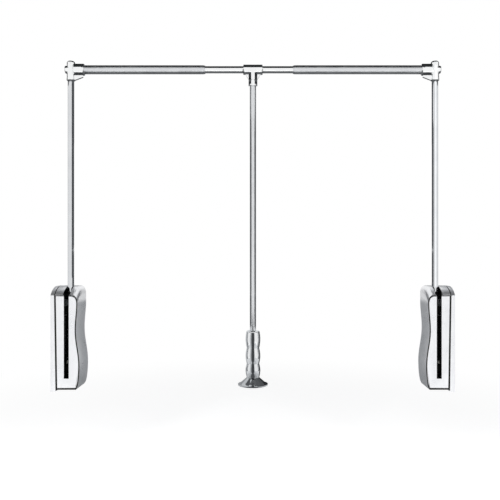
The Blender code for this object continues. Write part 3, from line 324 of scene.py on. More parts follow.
class Mesher:
    """Makes the smooth meshes that stand for the CAD nodes."""

    @staticmethod
    def from_bmesh(name: str, bm: bmesh.types.BMesh) -> Piece:
        """Turn a bmesh into a linked object with smooth shading and sharp corners.

        Args:
            name: name of the new object.
            bm: mesh that is used up.

        Returns:
            The new object.
        """
        bmesh.ops.recalc_face_normals(bm, faces=bm.faces)
        mesh = bpy.data.meshes.new(name)
        bm.to_mesh(mesh)
        bm.free()
        Mesher.shade(mesh)
        return linked(name, mesh)

    @staticmethod
    def shade(mesh: bpy.types.Mesh) -> None:
        """Shade smooth up to the sharp angle."""
        mesh.shade_smooth()
        mesh.set_sharp_from_angle(angle=SMOOTH_ANGLE)

    @staticmethod
    def band(bm: bmesh.types.BMesh, low: Loop, high: Loop) -> None:
        """Join two rings with faces.

        Args:
            bm: mesh that takes the faces.
            low: vertices of the first ring, or its pole alone.
            high: vertices of the second ring, or its pole alone.
        """
        count = max(len(low), len(high))
        for i in range(count):
            j = (i + 1) % count
            if len(low) == 1:
                bm.faces.new((low[0], high[j], high[i]))
            elif len(high) == 1:
                bm.faces.new((low[i], low[j], high[0]))
            else:
                bm.faces.new((low[i], low[j], high[j], high[i]))

    @staticmethod
    def skin(name: str, rings: Sequence[Sequence[Vector]], closed: bool = False) -> Piece:
        """Cover a row of rings with faces.

        Args:
            name: name of the new object.
            rings: rings of points; a ring of one point is a pole.
            closed: join the last ring to the first; otherwise both ends get a cap.

        Returns:
            The new object.
        """
        bm = bmesh.new()
        rows = [[bm.verts.new(point) for point in ring] for ring in rings]
        pairs = list(zip(rows, rows[1:])) + ([(rows[-1], rows[0])] if closed else [])
        for low, high in pairs:
            Mesher.band(bm, low, high)
        if not closed:
            for row in (rows[0], rows[-1]):
                if len(row) > 2:
                    bm.faces.new(row)
        return Mesher.from_bmesh(name, bm)

    @staticmethod
    def turned(name: str, profile: Sequence[Point], place: Placer,
               sides: int = TURNED_SIDES) -> Piece:
        """Turn a profile about an axis.

        Args:
            name: name of the new object.
            profile: (radius, along) points; one that starts and ends on radius 0 is a plain body,
                any other is a closed loop round a bore.
            place: function from (along, across, up) to a point.
            sides: facets round the axis.

        Returns:
            The new object.
        """
        rings = []
        for radius, along in profile:
            count = 1 if radius == 0 else sides
            angles = [2 * math.pi * i / sides for i in range(count)]
            rings.append([place(along, radius * math.cos(a), radius * math.sin(a)) for a in angles])
        return Mesher.skin(name, rings, closed=profile[0][0] > 0)

    @staticmethod
    def rounded(profile: Sequence[Point], radius: float, steps: int = 4) -> list[Point]:
        """Round the corners of a profile.

        Args:
            profile: points of an open line.
            radius: size of the round; a short leg makes it smaller.
            steps: pieces of each round.

        Returns:
            The line with each inner corner rounded.
        """
        points = [Vector(p) for p in profile]
        line: list[Point] = [tuple(points[0])]
        for before, corner, after in zip(points, points[1:], points[2:]):
            near, far = before - corner, after - corner
            reach = min(radius, near.length * LEG_SHARE, far.length * LEG_SHARE)
            start, end = corner + near.normalized() * reach, corner + far.normalized() * reach
            for i in range(steps + 1):
                t = i / steps
                spot = start * (1 - t) ** 2 + corner * 2 * t * (1 - t) + end * t ** 2
                line.append(tuple(spot))
        return line + [tuple(points[-1])]

    @staticmethod
    def tube(outer: float, wall: float, low: float, high: float, edge: float = 0.0003) -> list[Point]:
        """Closed profile of a tube from low to high, with the edges of its ends broken."""
        bore = outer - wall
        return [(bore, low + edge), (bore + edge, low), (outer - edge, low), (outer, low + edge),
                (outer, high - edge), (outer - edge, high), (bore + edge, high), (bore, high - edge)]

    @staticmethod
    def prism(name: str, outline: Sequence[Point], low: float, high: float, place: Placer) -> Piece:
        """Draw an outline of (p, q) points out from low to high along the placer's direction."""
        return Mesher.skin(name, [[place(along, p, q) for p, q in outline] for along in (low, high)])

    @staticmethod
    def boolean(piece: Piece, operation: str, others: Iterable[Piece]) -> Piece:
        """Unite or cut a piece with others, which are used up.

        Args:
            piece: object that is changed.
            operation: Blender's name of the boolean.
            others: objects that are used up.

        Returns:
            The changed piece.
        """
        for other in others:
            modifier = piece.modifiers.new(operation, "BOOLEAN")
            modifier.operation = operation
            modifier.solver = "MANIFOLD"
            modifier.object = other
            Mesher.settle(piece)
            bpy.data.objects.remove(other, do_unlink=True)
        Mesher.shade(piece.data)
        return piece

    @staticmethod
    def soften(piece: Piece, width: float, segments: int = 2) -> None:
        """Break a piece's sharp edges.

        Args:
            piece: object that is changed.
            width: width of the broken edge.
            segments: pieces across it.
        """
        modifier = piece.modifiers.new("edge", "BEVEL")
        modifier.width = width
        modifier.segments = segments
        modifier.limit_method = "ANGLE"
        modifier.angle_limit = SMOOTH_ANGLE
        modifier.use_clamp_overlap = True
        Mesher.settle(piece)
        Mesher.shade(piece.data)

    @staticmethod
    def settle(piece: Piece) -> None:
        """Apply a piece's modifiers to its mesh.

        Args:
            piece: object that gets the finished mesh.
        """
        graph = bpy.context.evaluated_depsgraph_get()
        mesh = bpy.data.meshes.new_from_object(piece.evaluated_get(graph))
        mesh.materials.clear()
        piece.modifiers.clear()
        piece.data = mesh


def upright(x: float = 0.0) -> Placer:
    """Placer for shapes turned about a vertical line in the rail's plane, along = Z."""
    return lambda along, p, q: Vector((x + p, q, along))


def about_rail(way: int = 1) -> Placer:
    """Placer for shapes turned about the rail, along = X times way."""
    return lambda along, p, q: Vector((way * along, p, RAIL_HEIGHT + q))


def inward(side: Side, y: float = 0.0, z: float = 0.0) -> Placer:
    """Placer for shapes that run inward from a side's outer face, along = depth."""
    return lambda along, p, q: Vector((side.x(along), y + p, z + q))


def toward_rear(x: float, z: float) -> Placer:
    """Placer for shapes that run from front to rear, along = Y."""
    return lambda along, p, q: Vector((x + p, along, z + q))


def bar(radius: float, low: float, high: float) -> list[Point]:
    """Profile of a plain round bar."""
    return [(0, low), (radius, low), (radius, high), (0, high)]


def dress(piece: Piece, finish: Finish, role: Role, body: str,
          nodes: Sequence[str] = ()) -> None:
    """Give a new piece its finish and place it in the frame.

    Args:
        piece: finished mesh object.
        finish: its surface finish.
        role: the record's slot that the finish belongs to; not used.
        body: body that the piece rides on.
        nodes: CAD nodes that the piece stands for.
    """
    if not piece.data.materials:
        piece.data.materials.append(finish.material())
    if nodes:
        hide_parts(*nodes)
    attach(piece, body)
    LOG.info("%s: %d faces, %s", piece.name, len(piece.data.polygons), finish.name)


def paint(name: str, finish: Finish) -> None:
    """Give a CAD node that keeps its shape a better finish.

    Args:
        name: name of the node.
        finish: its surface finish.
    """
    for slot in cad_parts[name].material_slots:
        slot.material = finish.material()
    LOG.info("%s keeps its shape: %s", name, finish.name)


@dataclass
class Housing:
    """One side housing: outer tray, black strip of painted shade in the seam, waved cover and its front
    panel.
    """

    side: Side
    depth: float = 0.076
    panel_top: float = 0.243
    hood_rise: float = 0.021
    hood_run: float = 0.046
    cover_foot: float = 0.005
    rear_corner: float = 0.011
    wall: float = 0.0025
    floor: float = 0.0035
    seam_top: float = 0.010
    seam_foot: float = 0.014
    foot_width: float = 0.063
    belly: Point = (0.066, 0.073)
    waist: Point = (0.155, 0.064)
    shoulder: Point = (0.225, 0.068)
    shoulder_round: float = 0.013
    shoulder_drop: float = 0.020
    slot_half: float = 0.0062
    slot_foot: float = 0.0331
    slot_rear: float = 0.008
    notch_half: float = 0.0088
    notch_rise: float = 0.001
    notch_rear: float = 0.010
    screw_spots: tuple[Point, Point] = ((-0.025, 0.018), (0.025, 0.240))
    screw_head: Point = (0.0037, 0.0022)
    screw_bore: Point = (0.00205, 0.0222)
    post: Point = (0.0045, 0.0061)
    fixing_radius: float = 0.0026
    fixing_heights: tuple[float, ...] = (0.0838, 0.1475, 0.2112)
    # Width of the seam between tray and cover, and the sink and play of the black strip in it, which is
    # painted shade.
    gasket: float = 0.0026
    gasket_sink: float = 0.0006
    gasket_play: float = 0.00003
    panel_gap: float = 0.0030
    foot_gap: float = 0.0026
    panel_rise: float = 0.0008
    edge: float = 0.0006
    wave_rows: int = 56
    arc_steps: int = 14
    columns: int = 26
    column_spread: float = 1.6
    front_facing: float = 0.98

    @property
    def front(self) -> float:
        """Y of the front face."""
        return -self.depth / 2

    @property
    def rear(self) -> float:
        """Y of the rear face."""
        return self.depth / 2

    @property
    def hood_top(self) -> float:
        """Height of the hood's level part."""
        return self.panel_top + self.hood_rise

    @property
    def hood_radius(self) -> float:
        """Radius of the hood's arc."""
        return (self.hood_rise ** 2 + self.hood_run ** 2) / (2 * self.hood_rise)

    @property
    def body(self) -> str:
        """Body that the housing belongs to."""
        return self.side.word + "_housing"

    def wave(self, z: float) -> float:
        """Depth of the cover's inner side by its belly, waist and shoulder.

        Args:
            z: height.

        Returns:
            The depth at that height.
        """
        if z <= self.belly[0]:
            part = 1 - max(0.0, (z - self.cover_foot) / (self.belly[0] - self.cover_foot))
            return self.foot_width + (self.belly[1] - self.foot_width) * math.sqrt(1 - part ** 2)
        knots = (self.belly, self.waist, self.shoulder)
        for (low, start), (high, end) in zip(knots, knots[1:]):
            if z <= high:
                part = (z - low) / (high - low)
                return start + (end - start) * (1 - math.cos(math.pi * part)) / 2
        return self.shoulder[1]

    def seam(self, z: float) -> float:
        """Depth of the leaning seam between tray and cover at a height."""
        return self.seam_foot + (self.seam_top - self.seam_foot) * z / self.hood_top

    def hood(self, y: float) -> float:
        """Height of the hood's arc over a place from front to rear."""
        run = max(0.0, self.front + self.hood_run - y)
        return self.hood_top - self.hood_radius + math.sqrt(self.hood_radius ** 2 - run ** 2)

    def side_depth(self, y: float, z: float) -> float:
        """Depth of the cover's inner side, rounded over under the hood."""
        part = max(0.0, 1 - (self.hood(y) - z) / self.shoulder_drop)
        return self.wave(z) - self.shoulder_round * (1 - math.sqrt(max(0.0, 1 - part ** 2)))

    def wall_depth(self, y: float, z: float) -> float:
        """Depth of the inside of the cover's waved wall."""
        return self.side_depth(y, z) - self.wall

    def beside_seam(self, offset: float) -> Depth:
        """Depth function that keeps an offset inward from the seam."""
        return lambda y, z: self.seam(z) + offset

    def rows(self, foot: float, inset: float) -> list[Triple]:
        """Rows of (height, front y, rear y) from the foot to the hood.

        Args:
            foot: height of the lowest row.
            inset: how far the rows are drawn in.

        Returns:
            The rows in rising order.
        """
        corner = self.rear_corner
        made = [(foot + corner * (1 - math.cos(a)), self.front, self.rear - corner * (1 - math.sin(a)))
                for a in quarter(self.arc_steps)]
        start = foot + corner
        span = self.panel_top - start
        made += [(start + span * (i + 1) / self.wave_rows, self.front, self.rear)
                 for i in range(self.wave_rows)]
        arc = [self.front + self.hood_run * i / self.arc_steps for i in range(1, self.arc_steps + 1)]
        made += [(self.hood(y), y, self.rear) for y in arc]
        shrink = 1 - 2 * inset / (self.hood_top - foot)
        return [(foot + inset + (z - foot) * shrink, low + inset, high - inset) for z, low, high in made]

    def ring(self, rows: Sequence[Triple], depth: Depth) -> list[Vector]:
        """Ring round the housing, up the front and down the rear.

        Args:
            rows: rows of (height, front y, rear y).
            depth: depth at a (y, height).

        Returns:
            The ring's points.
        """
        up = [Vector((self.side.x(depth(low, z)), low, z)) for z, low, high in rows]
        down = [Vector((self.side.x(depth(high, z)), high, z)) for z, low, high in rows]
        return up + down[::-1]

    def close(self, bm: bmesh.types.BMesh, ring: Loop, rows: Sequence[Triple], depth: Depth) -> None:
        """Close one end of a shell with a waved face.

        Args:
            bm: mesh that takes the faces.
            ring: the end's vertices.
            rows: the rows that the ring was made from.
            depth: depth at a (y, height).
        """
        lines = []
        for i, (z, low, high) in enumerate(rows):
            between = range(1, self.columns) if 0 < i < len(rows) - 1 else ()
            ys = [low + (high - low) * (k / self.columns) ** self.column_spread for k in between]
            inner = [bm.verts.new((self.side.x(depth(y, z)), y, z)) for y in ys]
            lines.append([ring[i], *inner, ring[len(ring) - 1 - i]])
        for low_line, high_line in zip(lines, lines[1:]):
            if len(low_line) == len(high_line):
                for i in range(len(low_line) - 1):
                    bm.faces.new((low_line[i], low_line[i + 1], high_line[i + 1], high_line[i]))
            else:
                bm.faces.new(low_line + high_line[::-1])

    def block(self, half: float, rear: float, foot: float) -> Piece:
        """Cutter round the arm's plane, open to the front and the top.

        Args:
            half: half its thickness across the arm's plane.
            rear: y of its rear face.
            foot: height of its lower face.

        Returns:
            The new object.
        """
        top = self.hood_top + self.hood_rise
        outline = [(2 * self.front, foot), (rear, foot), (rear, top), (2 * self.front, top)]
        return Mesher.prism("cutter", outline, ARM_DEPTH - half, ARM_DEPTH + half, inward(self.side))

    def cut_slot(self, piece: Piece) -> Piece:
        """Cut the lever's slot and the arm's notch.

        Args:
            piece: object that is changed.

        Returns:
            The changed piece.
        """
        slot = self.block(self.slot_half, self.slot_rear, self.slot_foot)
        notch = self.block(self.notch_half, self.notch_rear, self.panel_top + self.notch_rise)
        return Mesher.boolean(piece, "DIFFERENCE", (slot, notch))

    def plug(self, spot: Point, *steps: Triple) -> Piece:
        """Stepped round body across the housing.

        Args:
            spot: (y, z) of its axis.
            steps: (radius, start, end) of each step, start and end as depths.

        Returns:
            The new object.
        """
        corners = [(radius, depth) for radius, start, end in steps for depth in (start, end)]
        profile = [(0.0, corners[0][1]), *corners, (0.0, corners[-1][1])]
        return Mesher.turned("cutter", profile, inward(self.side, *spot), BORE_SIDES)

    def make_tray(self) -> None:
        """Outer half that screws to the wardrobe's side."""
        outer, inner = self.rows(0.0, 0.0), self.rows(0.0, self.wall)
        rim = self.beside_seam(-self.gasket / 2)
        rings = [self.ring(outer, lambda y, z: 0.0), self.ring(outer, rim), self.ring(inner, rim),
                 self.ring(inner, lambda y, z: self.floor)]
        tray = Mesher.skin(self.side.word + "_tray_shell", rings)
        through = 2 * self.floor
        head, pocket = self.screw_head
        steps = ((head, -through, pocket), (self.screw_bore[0], pocket, through))
        cutters = [self.plug(spot, *steps) for spot in self.screw_spots]
        front, fixing = self.screw_spots[0][0], (self.fixing_radius, -through, through)
        cutters += [self.plug((front, z), fixing) for z in self.fixing_heights]
        Mesher.soften(Mesher.boolean(tray, "DIFFERENCE", cutters), self.edge)
        dress(tray, PAINTED_ABS, Role.SHELL, self.body, (self.side.word + "_tray",))

    def make_gasket(self) -> None:
        """Black strip sunk in the seam all round: painted shade in the gap between tray and cover."""
        outer, inner = (self.rows(self.cover_foot / 2, inset) for inset in (self.gasket_sink, self.wall))
        reach = self.gasket / 2 - self.gasket_play
        low, high = self.beside_seam(-reach), self.beside_seam(reach)
        # A black strip that stands for the shade in the seam's gap.
        rings = [self.ring(outer, low), self.ring(outer, high), self.ring(inner, high), self.ring(inner, low)]
        strip = Mesher.skin(self.side.word + "_seam_gasket", rings, closed=True)
        dress(strip, RUBBER_AND_SEAM_SHADE, Role.RUBBER, self.body)

    def make_cover(self) -> None:
        """Waved inner half; black inside, which is bare plastic and painted shade in the slot, and black
        round the front panel, which is painted shade in the gap.
        """
        outer, inner = self.rows(self.cover_foot, 0.0), self.rows(self.cover_foot, self.wall)
        outer = [(z, low + self.panel_rise if low == self.front else low, high) for z, low, high in outer]
        mouth = self.beside_seam(self.gasket / 2)
        bm = bmesh.new()
        shapes = ((inner, self.wall_depth), (inner, mouth), (outer, mouth), (outer, self.side_depth))
        loops = [[bm.verts.new(point) for point in self.ring(rows, depth)] for rows, depth in shapes]
        for low, high in zip(loops, loops[1:]):
            Mesher.band(bm, low, high)
        self.close(bm, loops[0], inner, self.wall_depth)
        self.close(bm, loops[-1], outer, self.side_depth)
        cover = Mesher.from_bmesh(self.side.word + "_cover_shell", bm)
        radius, seat = self.post
        posts = [self.plug((y, z), (radius, seat, self.wave(z) - self.wall / 2)) for y, z in self.screw_spots]
        bore, bore_end = self.screw_bore
        bores = [self.plug(spot, (bore, 0.0, bore_end)) for spot in self.screw_spots]
        self.cut_slot(Mesher.boolean(cover, "UNION", posts))
        Mesher.boolean(cover, "DIFFERENCE", bores)
        Mesher.soften(cover, self.edge / 2, segments=1)
        for finish in (PAINTED_ABS, BARE_ABS_AND_SHADE):
            cover.data.materials.append(finish.material())
        # Black faces: bare plastic inside the shell, and painted shade where they show in the slot and in the
        # gap round the front panel.
        for face in cover.data.polygons:
            face.material_index = int(self.is_hidden(face.center, face.normal))
        dress(cover, PAINTED_ABS, Role.SHELL, self.body, (self.side.word + "_cover",))

    def is_hidden(self, spot: Vector, normal: Vector) -> bool:
        """Tell whether a face of the cover is black: inside the shell, or on its front under the front panel.

        Args:
            spot: middle of the face.
            normal: outward normal of the face.

        Returns:
            True where the face is black: bare plastic inside the shell, and painted shade in the slot and in
                the gap round the front panel.
        """
        depth = HALF_WIDTH - abs(spot.x)
        # The front faces under the front panel are black, so the gap round the panel shows a painted shade
        # line.
        if normal.y < -self.front_facing and spot.z < self.panel_top:
            return True
        within = self.wall / 2
        below_hood = spot.z < self.hood(spot.y) - within and spot.z > self.cover_foot + within
        return (below_hood and depth < self.side_depth(spot.y, spot.z) - within
                and self.front + within < spot.y < self.rear - within)

    def make_panel(self) -> None:
        """Front panel: a thin plate that follows the wave, a shadow gap in from the cover's edge.

        The gap is wider along the foot, where it shows as the heaviest line.
        """
        rows = [z for z, low, high in self.rows(self.cover_foot + self.foot_gap, 0.0) if low == self.front]
        inner = [(self.side_depth(self.front, z), z) for z in rows]
        outer = [(self.seam(z) + self.gasket / 2, z) for z in (rows[-1], rows[0])]
        bm = bmesh.new()
        back = self.front + self.panel_rise
        face = bm.faces.new([bm.verts.new((self.side.x(d), back, z)) for d, z in inner + outer])
        bmesh.ops.recalc_face_normals(bm, faces=[face])
        rim = bmesh.ops.inset_region(bm, faces=[face], thickness=self.panel_gap, use_boundary=True)["faces"]
        bmesh.ops.delete(bm, geom=rim, context="FACES")
        raised = bmesh.ops.extrude_face_region(bm, geom=[face], use_keep_orig=True)["geom"]
        lifted = [item for item in raised if isinstance(item, bmesh.types.BMVert)]
        bmesh.ops.translate(bm, verts=lifted, vec=Vector((0.0, -self.panel_rise, 0.0)))
        panel = self.cut_slot(Mesher.from_bmesh(self.side.word + "_front_panel", bm))
        Mesher.soften(panel, self.edge / 3)
        dress(panel, PAINTED_ABS, Role.SHELL, self.body)

    def build(self) -> None:
        """Make and dress the housing."""
        self.make_tray()
        self.make_gasket()
        self.make_cover()
        self.make_panel()


@dataclass
class LiftGear:
    """The lift spring of one housing, and the CAD nodes of its side that keep their shape."""

    side: Side
    foot: float = 0.076
    length: float = 0.110
    travel: float = 0.0295
    mean: float = 0.0075
    wire: float = 0.0011
    turns: int = 9
    per_turn: int = 40
    wire_sides: int = 14

    def make_spring(self) -> None:
        """Open coil between the ends of the spring node, made at its rest length."""
        box_low, box_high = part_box(self.side.word + "_lift_spring")
        centre = Vector(((box_low[0] + box_high[0]) / 2, (box_low[1] + box_high[1]) / 2, 0.0))
        low, high = box_low[2] + self.wire, box_high[2] - self.wire
        count = self.turns * self.per_turn
        lead = math.atan2((high - low) / self.turns, 2 * math.pi * self.mean)
        rings = []
        for i in range(count + 1):
            angle = 2 * math.pi * i / self.per_turn
            outward = Vector((math.cos(angle), math.sin(angle), 0.0))
            along = Vector((-math.sin(angle), math.cos(angle), 0.0))
            across = Vector((0.0, 0.0, math.cos(lead))) - along * math.sin(lead)
            spot = centre + outward * self.mean + Vector((0.0, 0.0, low + (high - low) * i / count))
            turns = [2 * math.pi * k / self.wire_sides for k in range(self.wire_sides)]
            rings.append([spot + (outward * math.cos(t) + across * math.sin(t)) * self.wire for t in turns])
        spring = Mesher.skin(self.side.word + "_lift_coil", rings)
        dress(spring, SPRING_WIRE, Role.SPRING, self.side.word + "_housing",
              (self.side.word + "_lift_spring",))
        anchor = (centre.x, centre.y, self.foot + self.length)
        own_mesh(spring)

    def build(self) -> None:
        """Make the spring and paint the nodes."""
        self.make_spring()
        for name, finish in NODE_FINISHES.items():
            paint(f"{self.side.word}_{name}", finish)


@dataclass
class Arm:
    """One swinging arm: tube, cast elbow with its rail socket and web, and the elbow's cap."""

    side: Side
    radius: float = 0.008
    wall: float = 0.0012
    foot: float = 0.250
    top: float = 0.8187
    elbow_radius: float = 0.01025
    elbow_rise: float = 0.022
    elbow_drop: float = 0.028
    dome: float = 0.005
    dome_steps: int = 8
    flare_foot: float = 0.0003
    flare: float = 0.0006
    flare_edge: float = 0.0004
    flare_rise: float = 0.008
    socket_radius: float = 0.015
    socket_end: float = 0.076
    socket_depth: float = 0.024
    chamfer: float = 0.0025
    socket_round: float = 0.001
    boss_reach: float = 0.0125
    boss_radius: float = 0.010
    boss_round: float = 0.0006
    rail_radius: float = 0.0112
    bore_drop: float = 0.004
    bore_overrun: float = 0.02
    web_half: float = 0.003
    web_end: float = 0.0715
    web_drop: float = 0.0195
    plug_radius: float = 0.0053
    plug_depth: float = 0.0043
    plug_sides: int = 48
    screw_radius: float = 0.0023
    screw_inset: float = 0.010
    pin_height: float = 0.270
    pin_radius: float = 0.0023
    cap_radius: float = 0.0095
    cap_height: float = 0.002
    cap_recess: float = 0.0005
    cap_dish: Point = (0.5, 0.62)
    cap_round: float = 0.0009

    @property
    def body(self) -> str:
        """Body that the arm belongs to."""
        return self.side.word + "_frame"

    @property
    def x(self) -> float:
        """X of the arm's middle."""
        return self.side.x(ARM_DEPTH)

    def make_tube(self) -> None:
        """Arm tube with the holes of its cross pin."""
        profile = Mesher.tube(self.radius, self.wall, self.foot, self.top)
        tube = Mesher.turned(self.side.word + "_arm", profile, upright(self.x))
        pin = Mesher.turned("cutter", bar(self.pin_radius, 0.0, 2 * ARM_DEPTH),
                            inward(self.side, z=self.pin_height), BORE_SIDES)
        Mesher.boolean(tube, "DIFFERENCE", (pin,))
        dress(tube, CHROME_TUBE, Role.CHROME, self.body, (self.side.word + "_arm_tube",))

    def make_elbow(self) -> None:
        """Cast corner piece, its parts united and bored as in the frame."""
        radius, low, high = self.elbow_radius, RAIL_HEIGHT - self.elbow_drop, RAIL_HEIGHT + self.elbow_rise
        sleeve = [(0, low), (radius + self.flare_foot, low), (radius + self.flare, low + self.flare_edge),
                  (radius, low + self.flare_rise)]
        sleeve += [(radius - self.dome * (1 - math.cos(a)), high - self.dome * (1 - math.sin(a)))
                   for a in quarter(self.dome_steps)]
        sleeve.append((0, high))
        elbow = Mesher.turned(self.side.word + "_elbow_casting", sleeve, upright(self.x))
        start, end, face = ARM_DEPTH + radius, self.socket_end, ARM_DEPTH - self.boss_reach
        wide, narrow = self.socket_radius, self.socket_radius - self.chamfer
        socket = [(0, ARM_DEPTH), (radius / 2, ARM_DEPTH), (narrow, start - self.chamfer), (wide, start),
                  (wide, end - self.chamfer), (narrow, end), (0, end)]
        boss = bar(self.boss_radius, face, ARM_DEPTH)
        web_foot, web_top = FIT_GAP - self.elbow_drop, -self.rail_radius
        web = [(ARM_DEPTH, web_foot), (start, web_foot), (self.web_end, -self.web_drop),
               (self.web_end, web_top), (ARM_DEPTH, web_top)]
        along = inward(self.side, z=RAIL_HEIGHT)
        Mesher.boolean(elbow, "UNION", (
            Mesher.turned("socket", Mesher.rounded(socket, self.socket_round), along),
            Mesher.turned("boss", Mesher.rounded(boss, self.boss_round), along),
            Mesher.prism("web", [(self.side.x(depth), drop) for depth, drop in web],
                         -self.web_half, self.web_half, toward_rear(0.0, RAIL_HEIGHT))))
        arm_bore = bar(self.radius + FIT_GAP, low - self.bore_overrun, RAIL_HEIGHT - self.bore_drop)
        rail_bore = bar(self.rail_radius + FIT_GAP, end - self.socket_depth, end + self.socket_depth)
        plug_bore = bar(self.plug_radius, face - self.plug_depth, face + self.plug_depth)
        screw_bore = bar(self.screw_radius, 0.0, 2 * self.socket_radius)
        screw_x = self.side.x(end - self.screw_inset)
        Mesher.boolean(elbow, "DIFFERENCE", (
            Mesher.turned("arm_bore", arm_bore, upright(self.x)),
            Mesher.turned("rail_bore", rail_bore, along),
            Mesher.turned("plug_bore", plug_bore, along, self.plug_sides),
            Mesher.turned("screw_bore", screw_bore, toward_rear(screw_x, RAIL_HEIGHT), BORE_SIDES)))
        dress(elbow, CAST_CHROME, Role.CHROME, self.body, (self.side.word + "_elbow",))

    def make_cap(self) -> None:
        """Low round cap on the elbow's outer boss, dished in the middle."""
        face = ARM_DEPTH - self.boss_reach - FIT_GAP
        low, plug, radius = face - self.cap_height, self.plug_radius - FIT_GAP, self.cap_radius
        floor, rim = (radius * share for share in self.cap_dish)
        head = [(0, low + self.cap_recess), (floor, low + self.cap_recess), (rim, low),
                (radius - self.cap_height, low), (radius, face - self.cap_height / 2), (radius, face)]
        end = face + self.plug_depth - FIT_GAP
        profile = Mesher.rounded(head, self.cap_round) + [(plug, face), (plug, end), (0, end)]
        cap = Mesher.turned(self.side.word + "_elbow_button", profile, inward(self.side, z=RAIL_HEIGHT))
        dress(cap, CAST_CHROME, Role.CHROME, self.body, (self.side.word + "_elbow_cap",))

    def build(self) -> None:
        """Make and dress the arm."""
        self.make_tube()
        self.make_elbow()
        self.make_cap()


@dataclass
class Rail:
    """The telescopic rail: two outer tubes with drawn-in mouths and the polished inner tube."""

    outer: float = 0.0112
    wall: float = 0.001
    inner: float = 0.009
    mouths: Point = (0.123, 0.103)
    taper: float = 0.0009
    neck: float = 0.006
    start: float = 0.4577
    inner_ends: Point = (-0.240, 0.210)
    lip: float = 0.0004
    edge: float = 0.0003
    steps: int = 10

    def make_outer(self, side: Side) -> None:
        """Outer tube from its socket to the mouth that is rolled in round the inner tube.

        Args:
            side: side that the tube belongs to.
        """
        mouth = self.mouths[0] if side is Side.LEFT else self.mouths[1]
        bore, edge = self.outer - self.wall, self.edge
        blend = [i / self.steps for i in range(self.steps + 1)]
        eased = [(t, (1 - math.cos(math.pi * t)) / 2) for t in blend]
        out_line = [(self.outer - self.taper * e, mouth + self.neck * (1 - t) + self.lip * t)
                    for t, e in eased]
        in_line = [(bore - self.taper * e, mouth + self.neck * (1 - t)) for t, e in eased]
        profile = [(bore, self.start), (self.outer - edge, self.start), (self.outer, self.start - edge)]
        profile += out_line + [(self.outer - self.taper - edge, mouth)] + in_line[::-1]
        tube = Mesher.turned(side.word + "_rail_sleeve", profile, about_rail(side.value))
        dress(tube, SATIN_RAIL, Role.SATIN, side.word + "_frame", (side.word + "_rail_outer_tube",))

    def make_inner(self) -> None:
        """Inner tube that runs into both outer tubes."""
        profile = Mesher.tube(self.inner, self.wall, *self.inner_ends)
        tube = Mesher.turned("rail_core_tube", profile, about_rail())
        dress(tube, CHROME_RAIL, Role.CHROME, "rail_core", ("rail_inner_tube",))

    def build(self) -> None:
        """Make and dress the rail."""
        for side in Side:
            self.make_outer(side)
        self.make_inner()


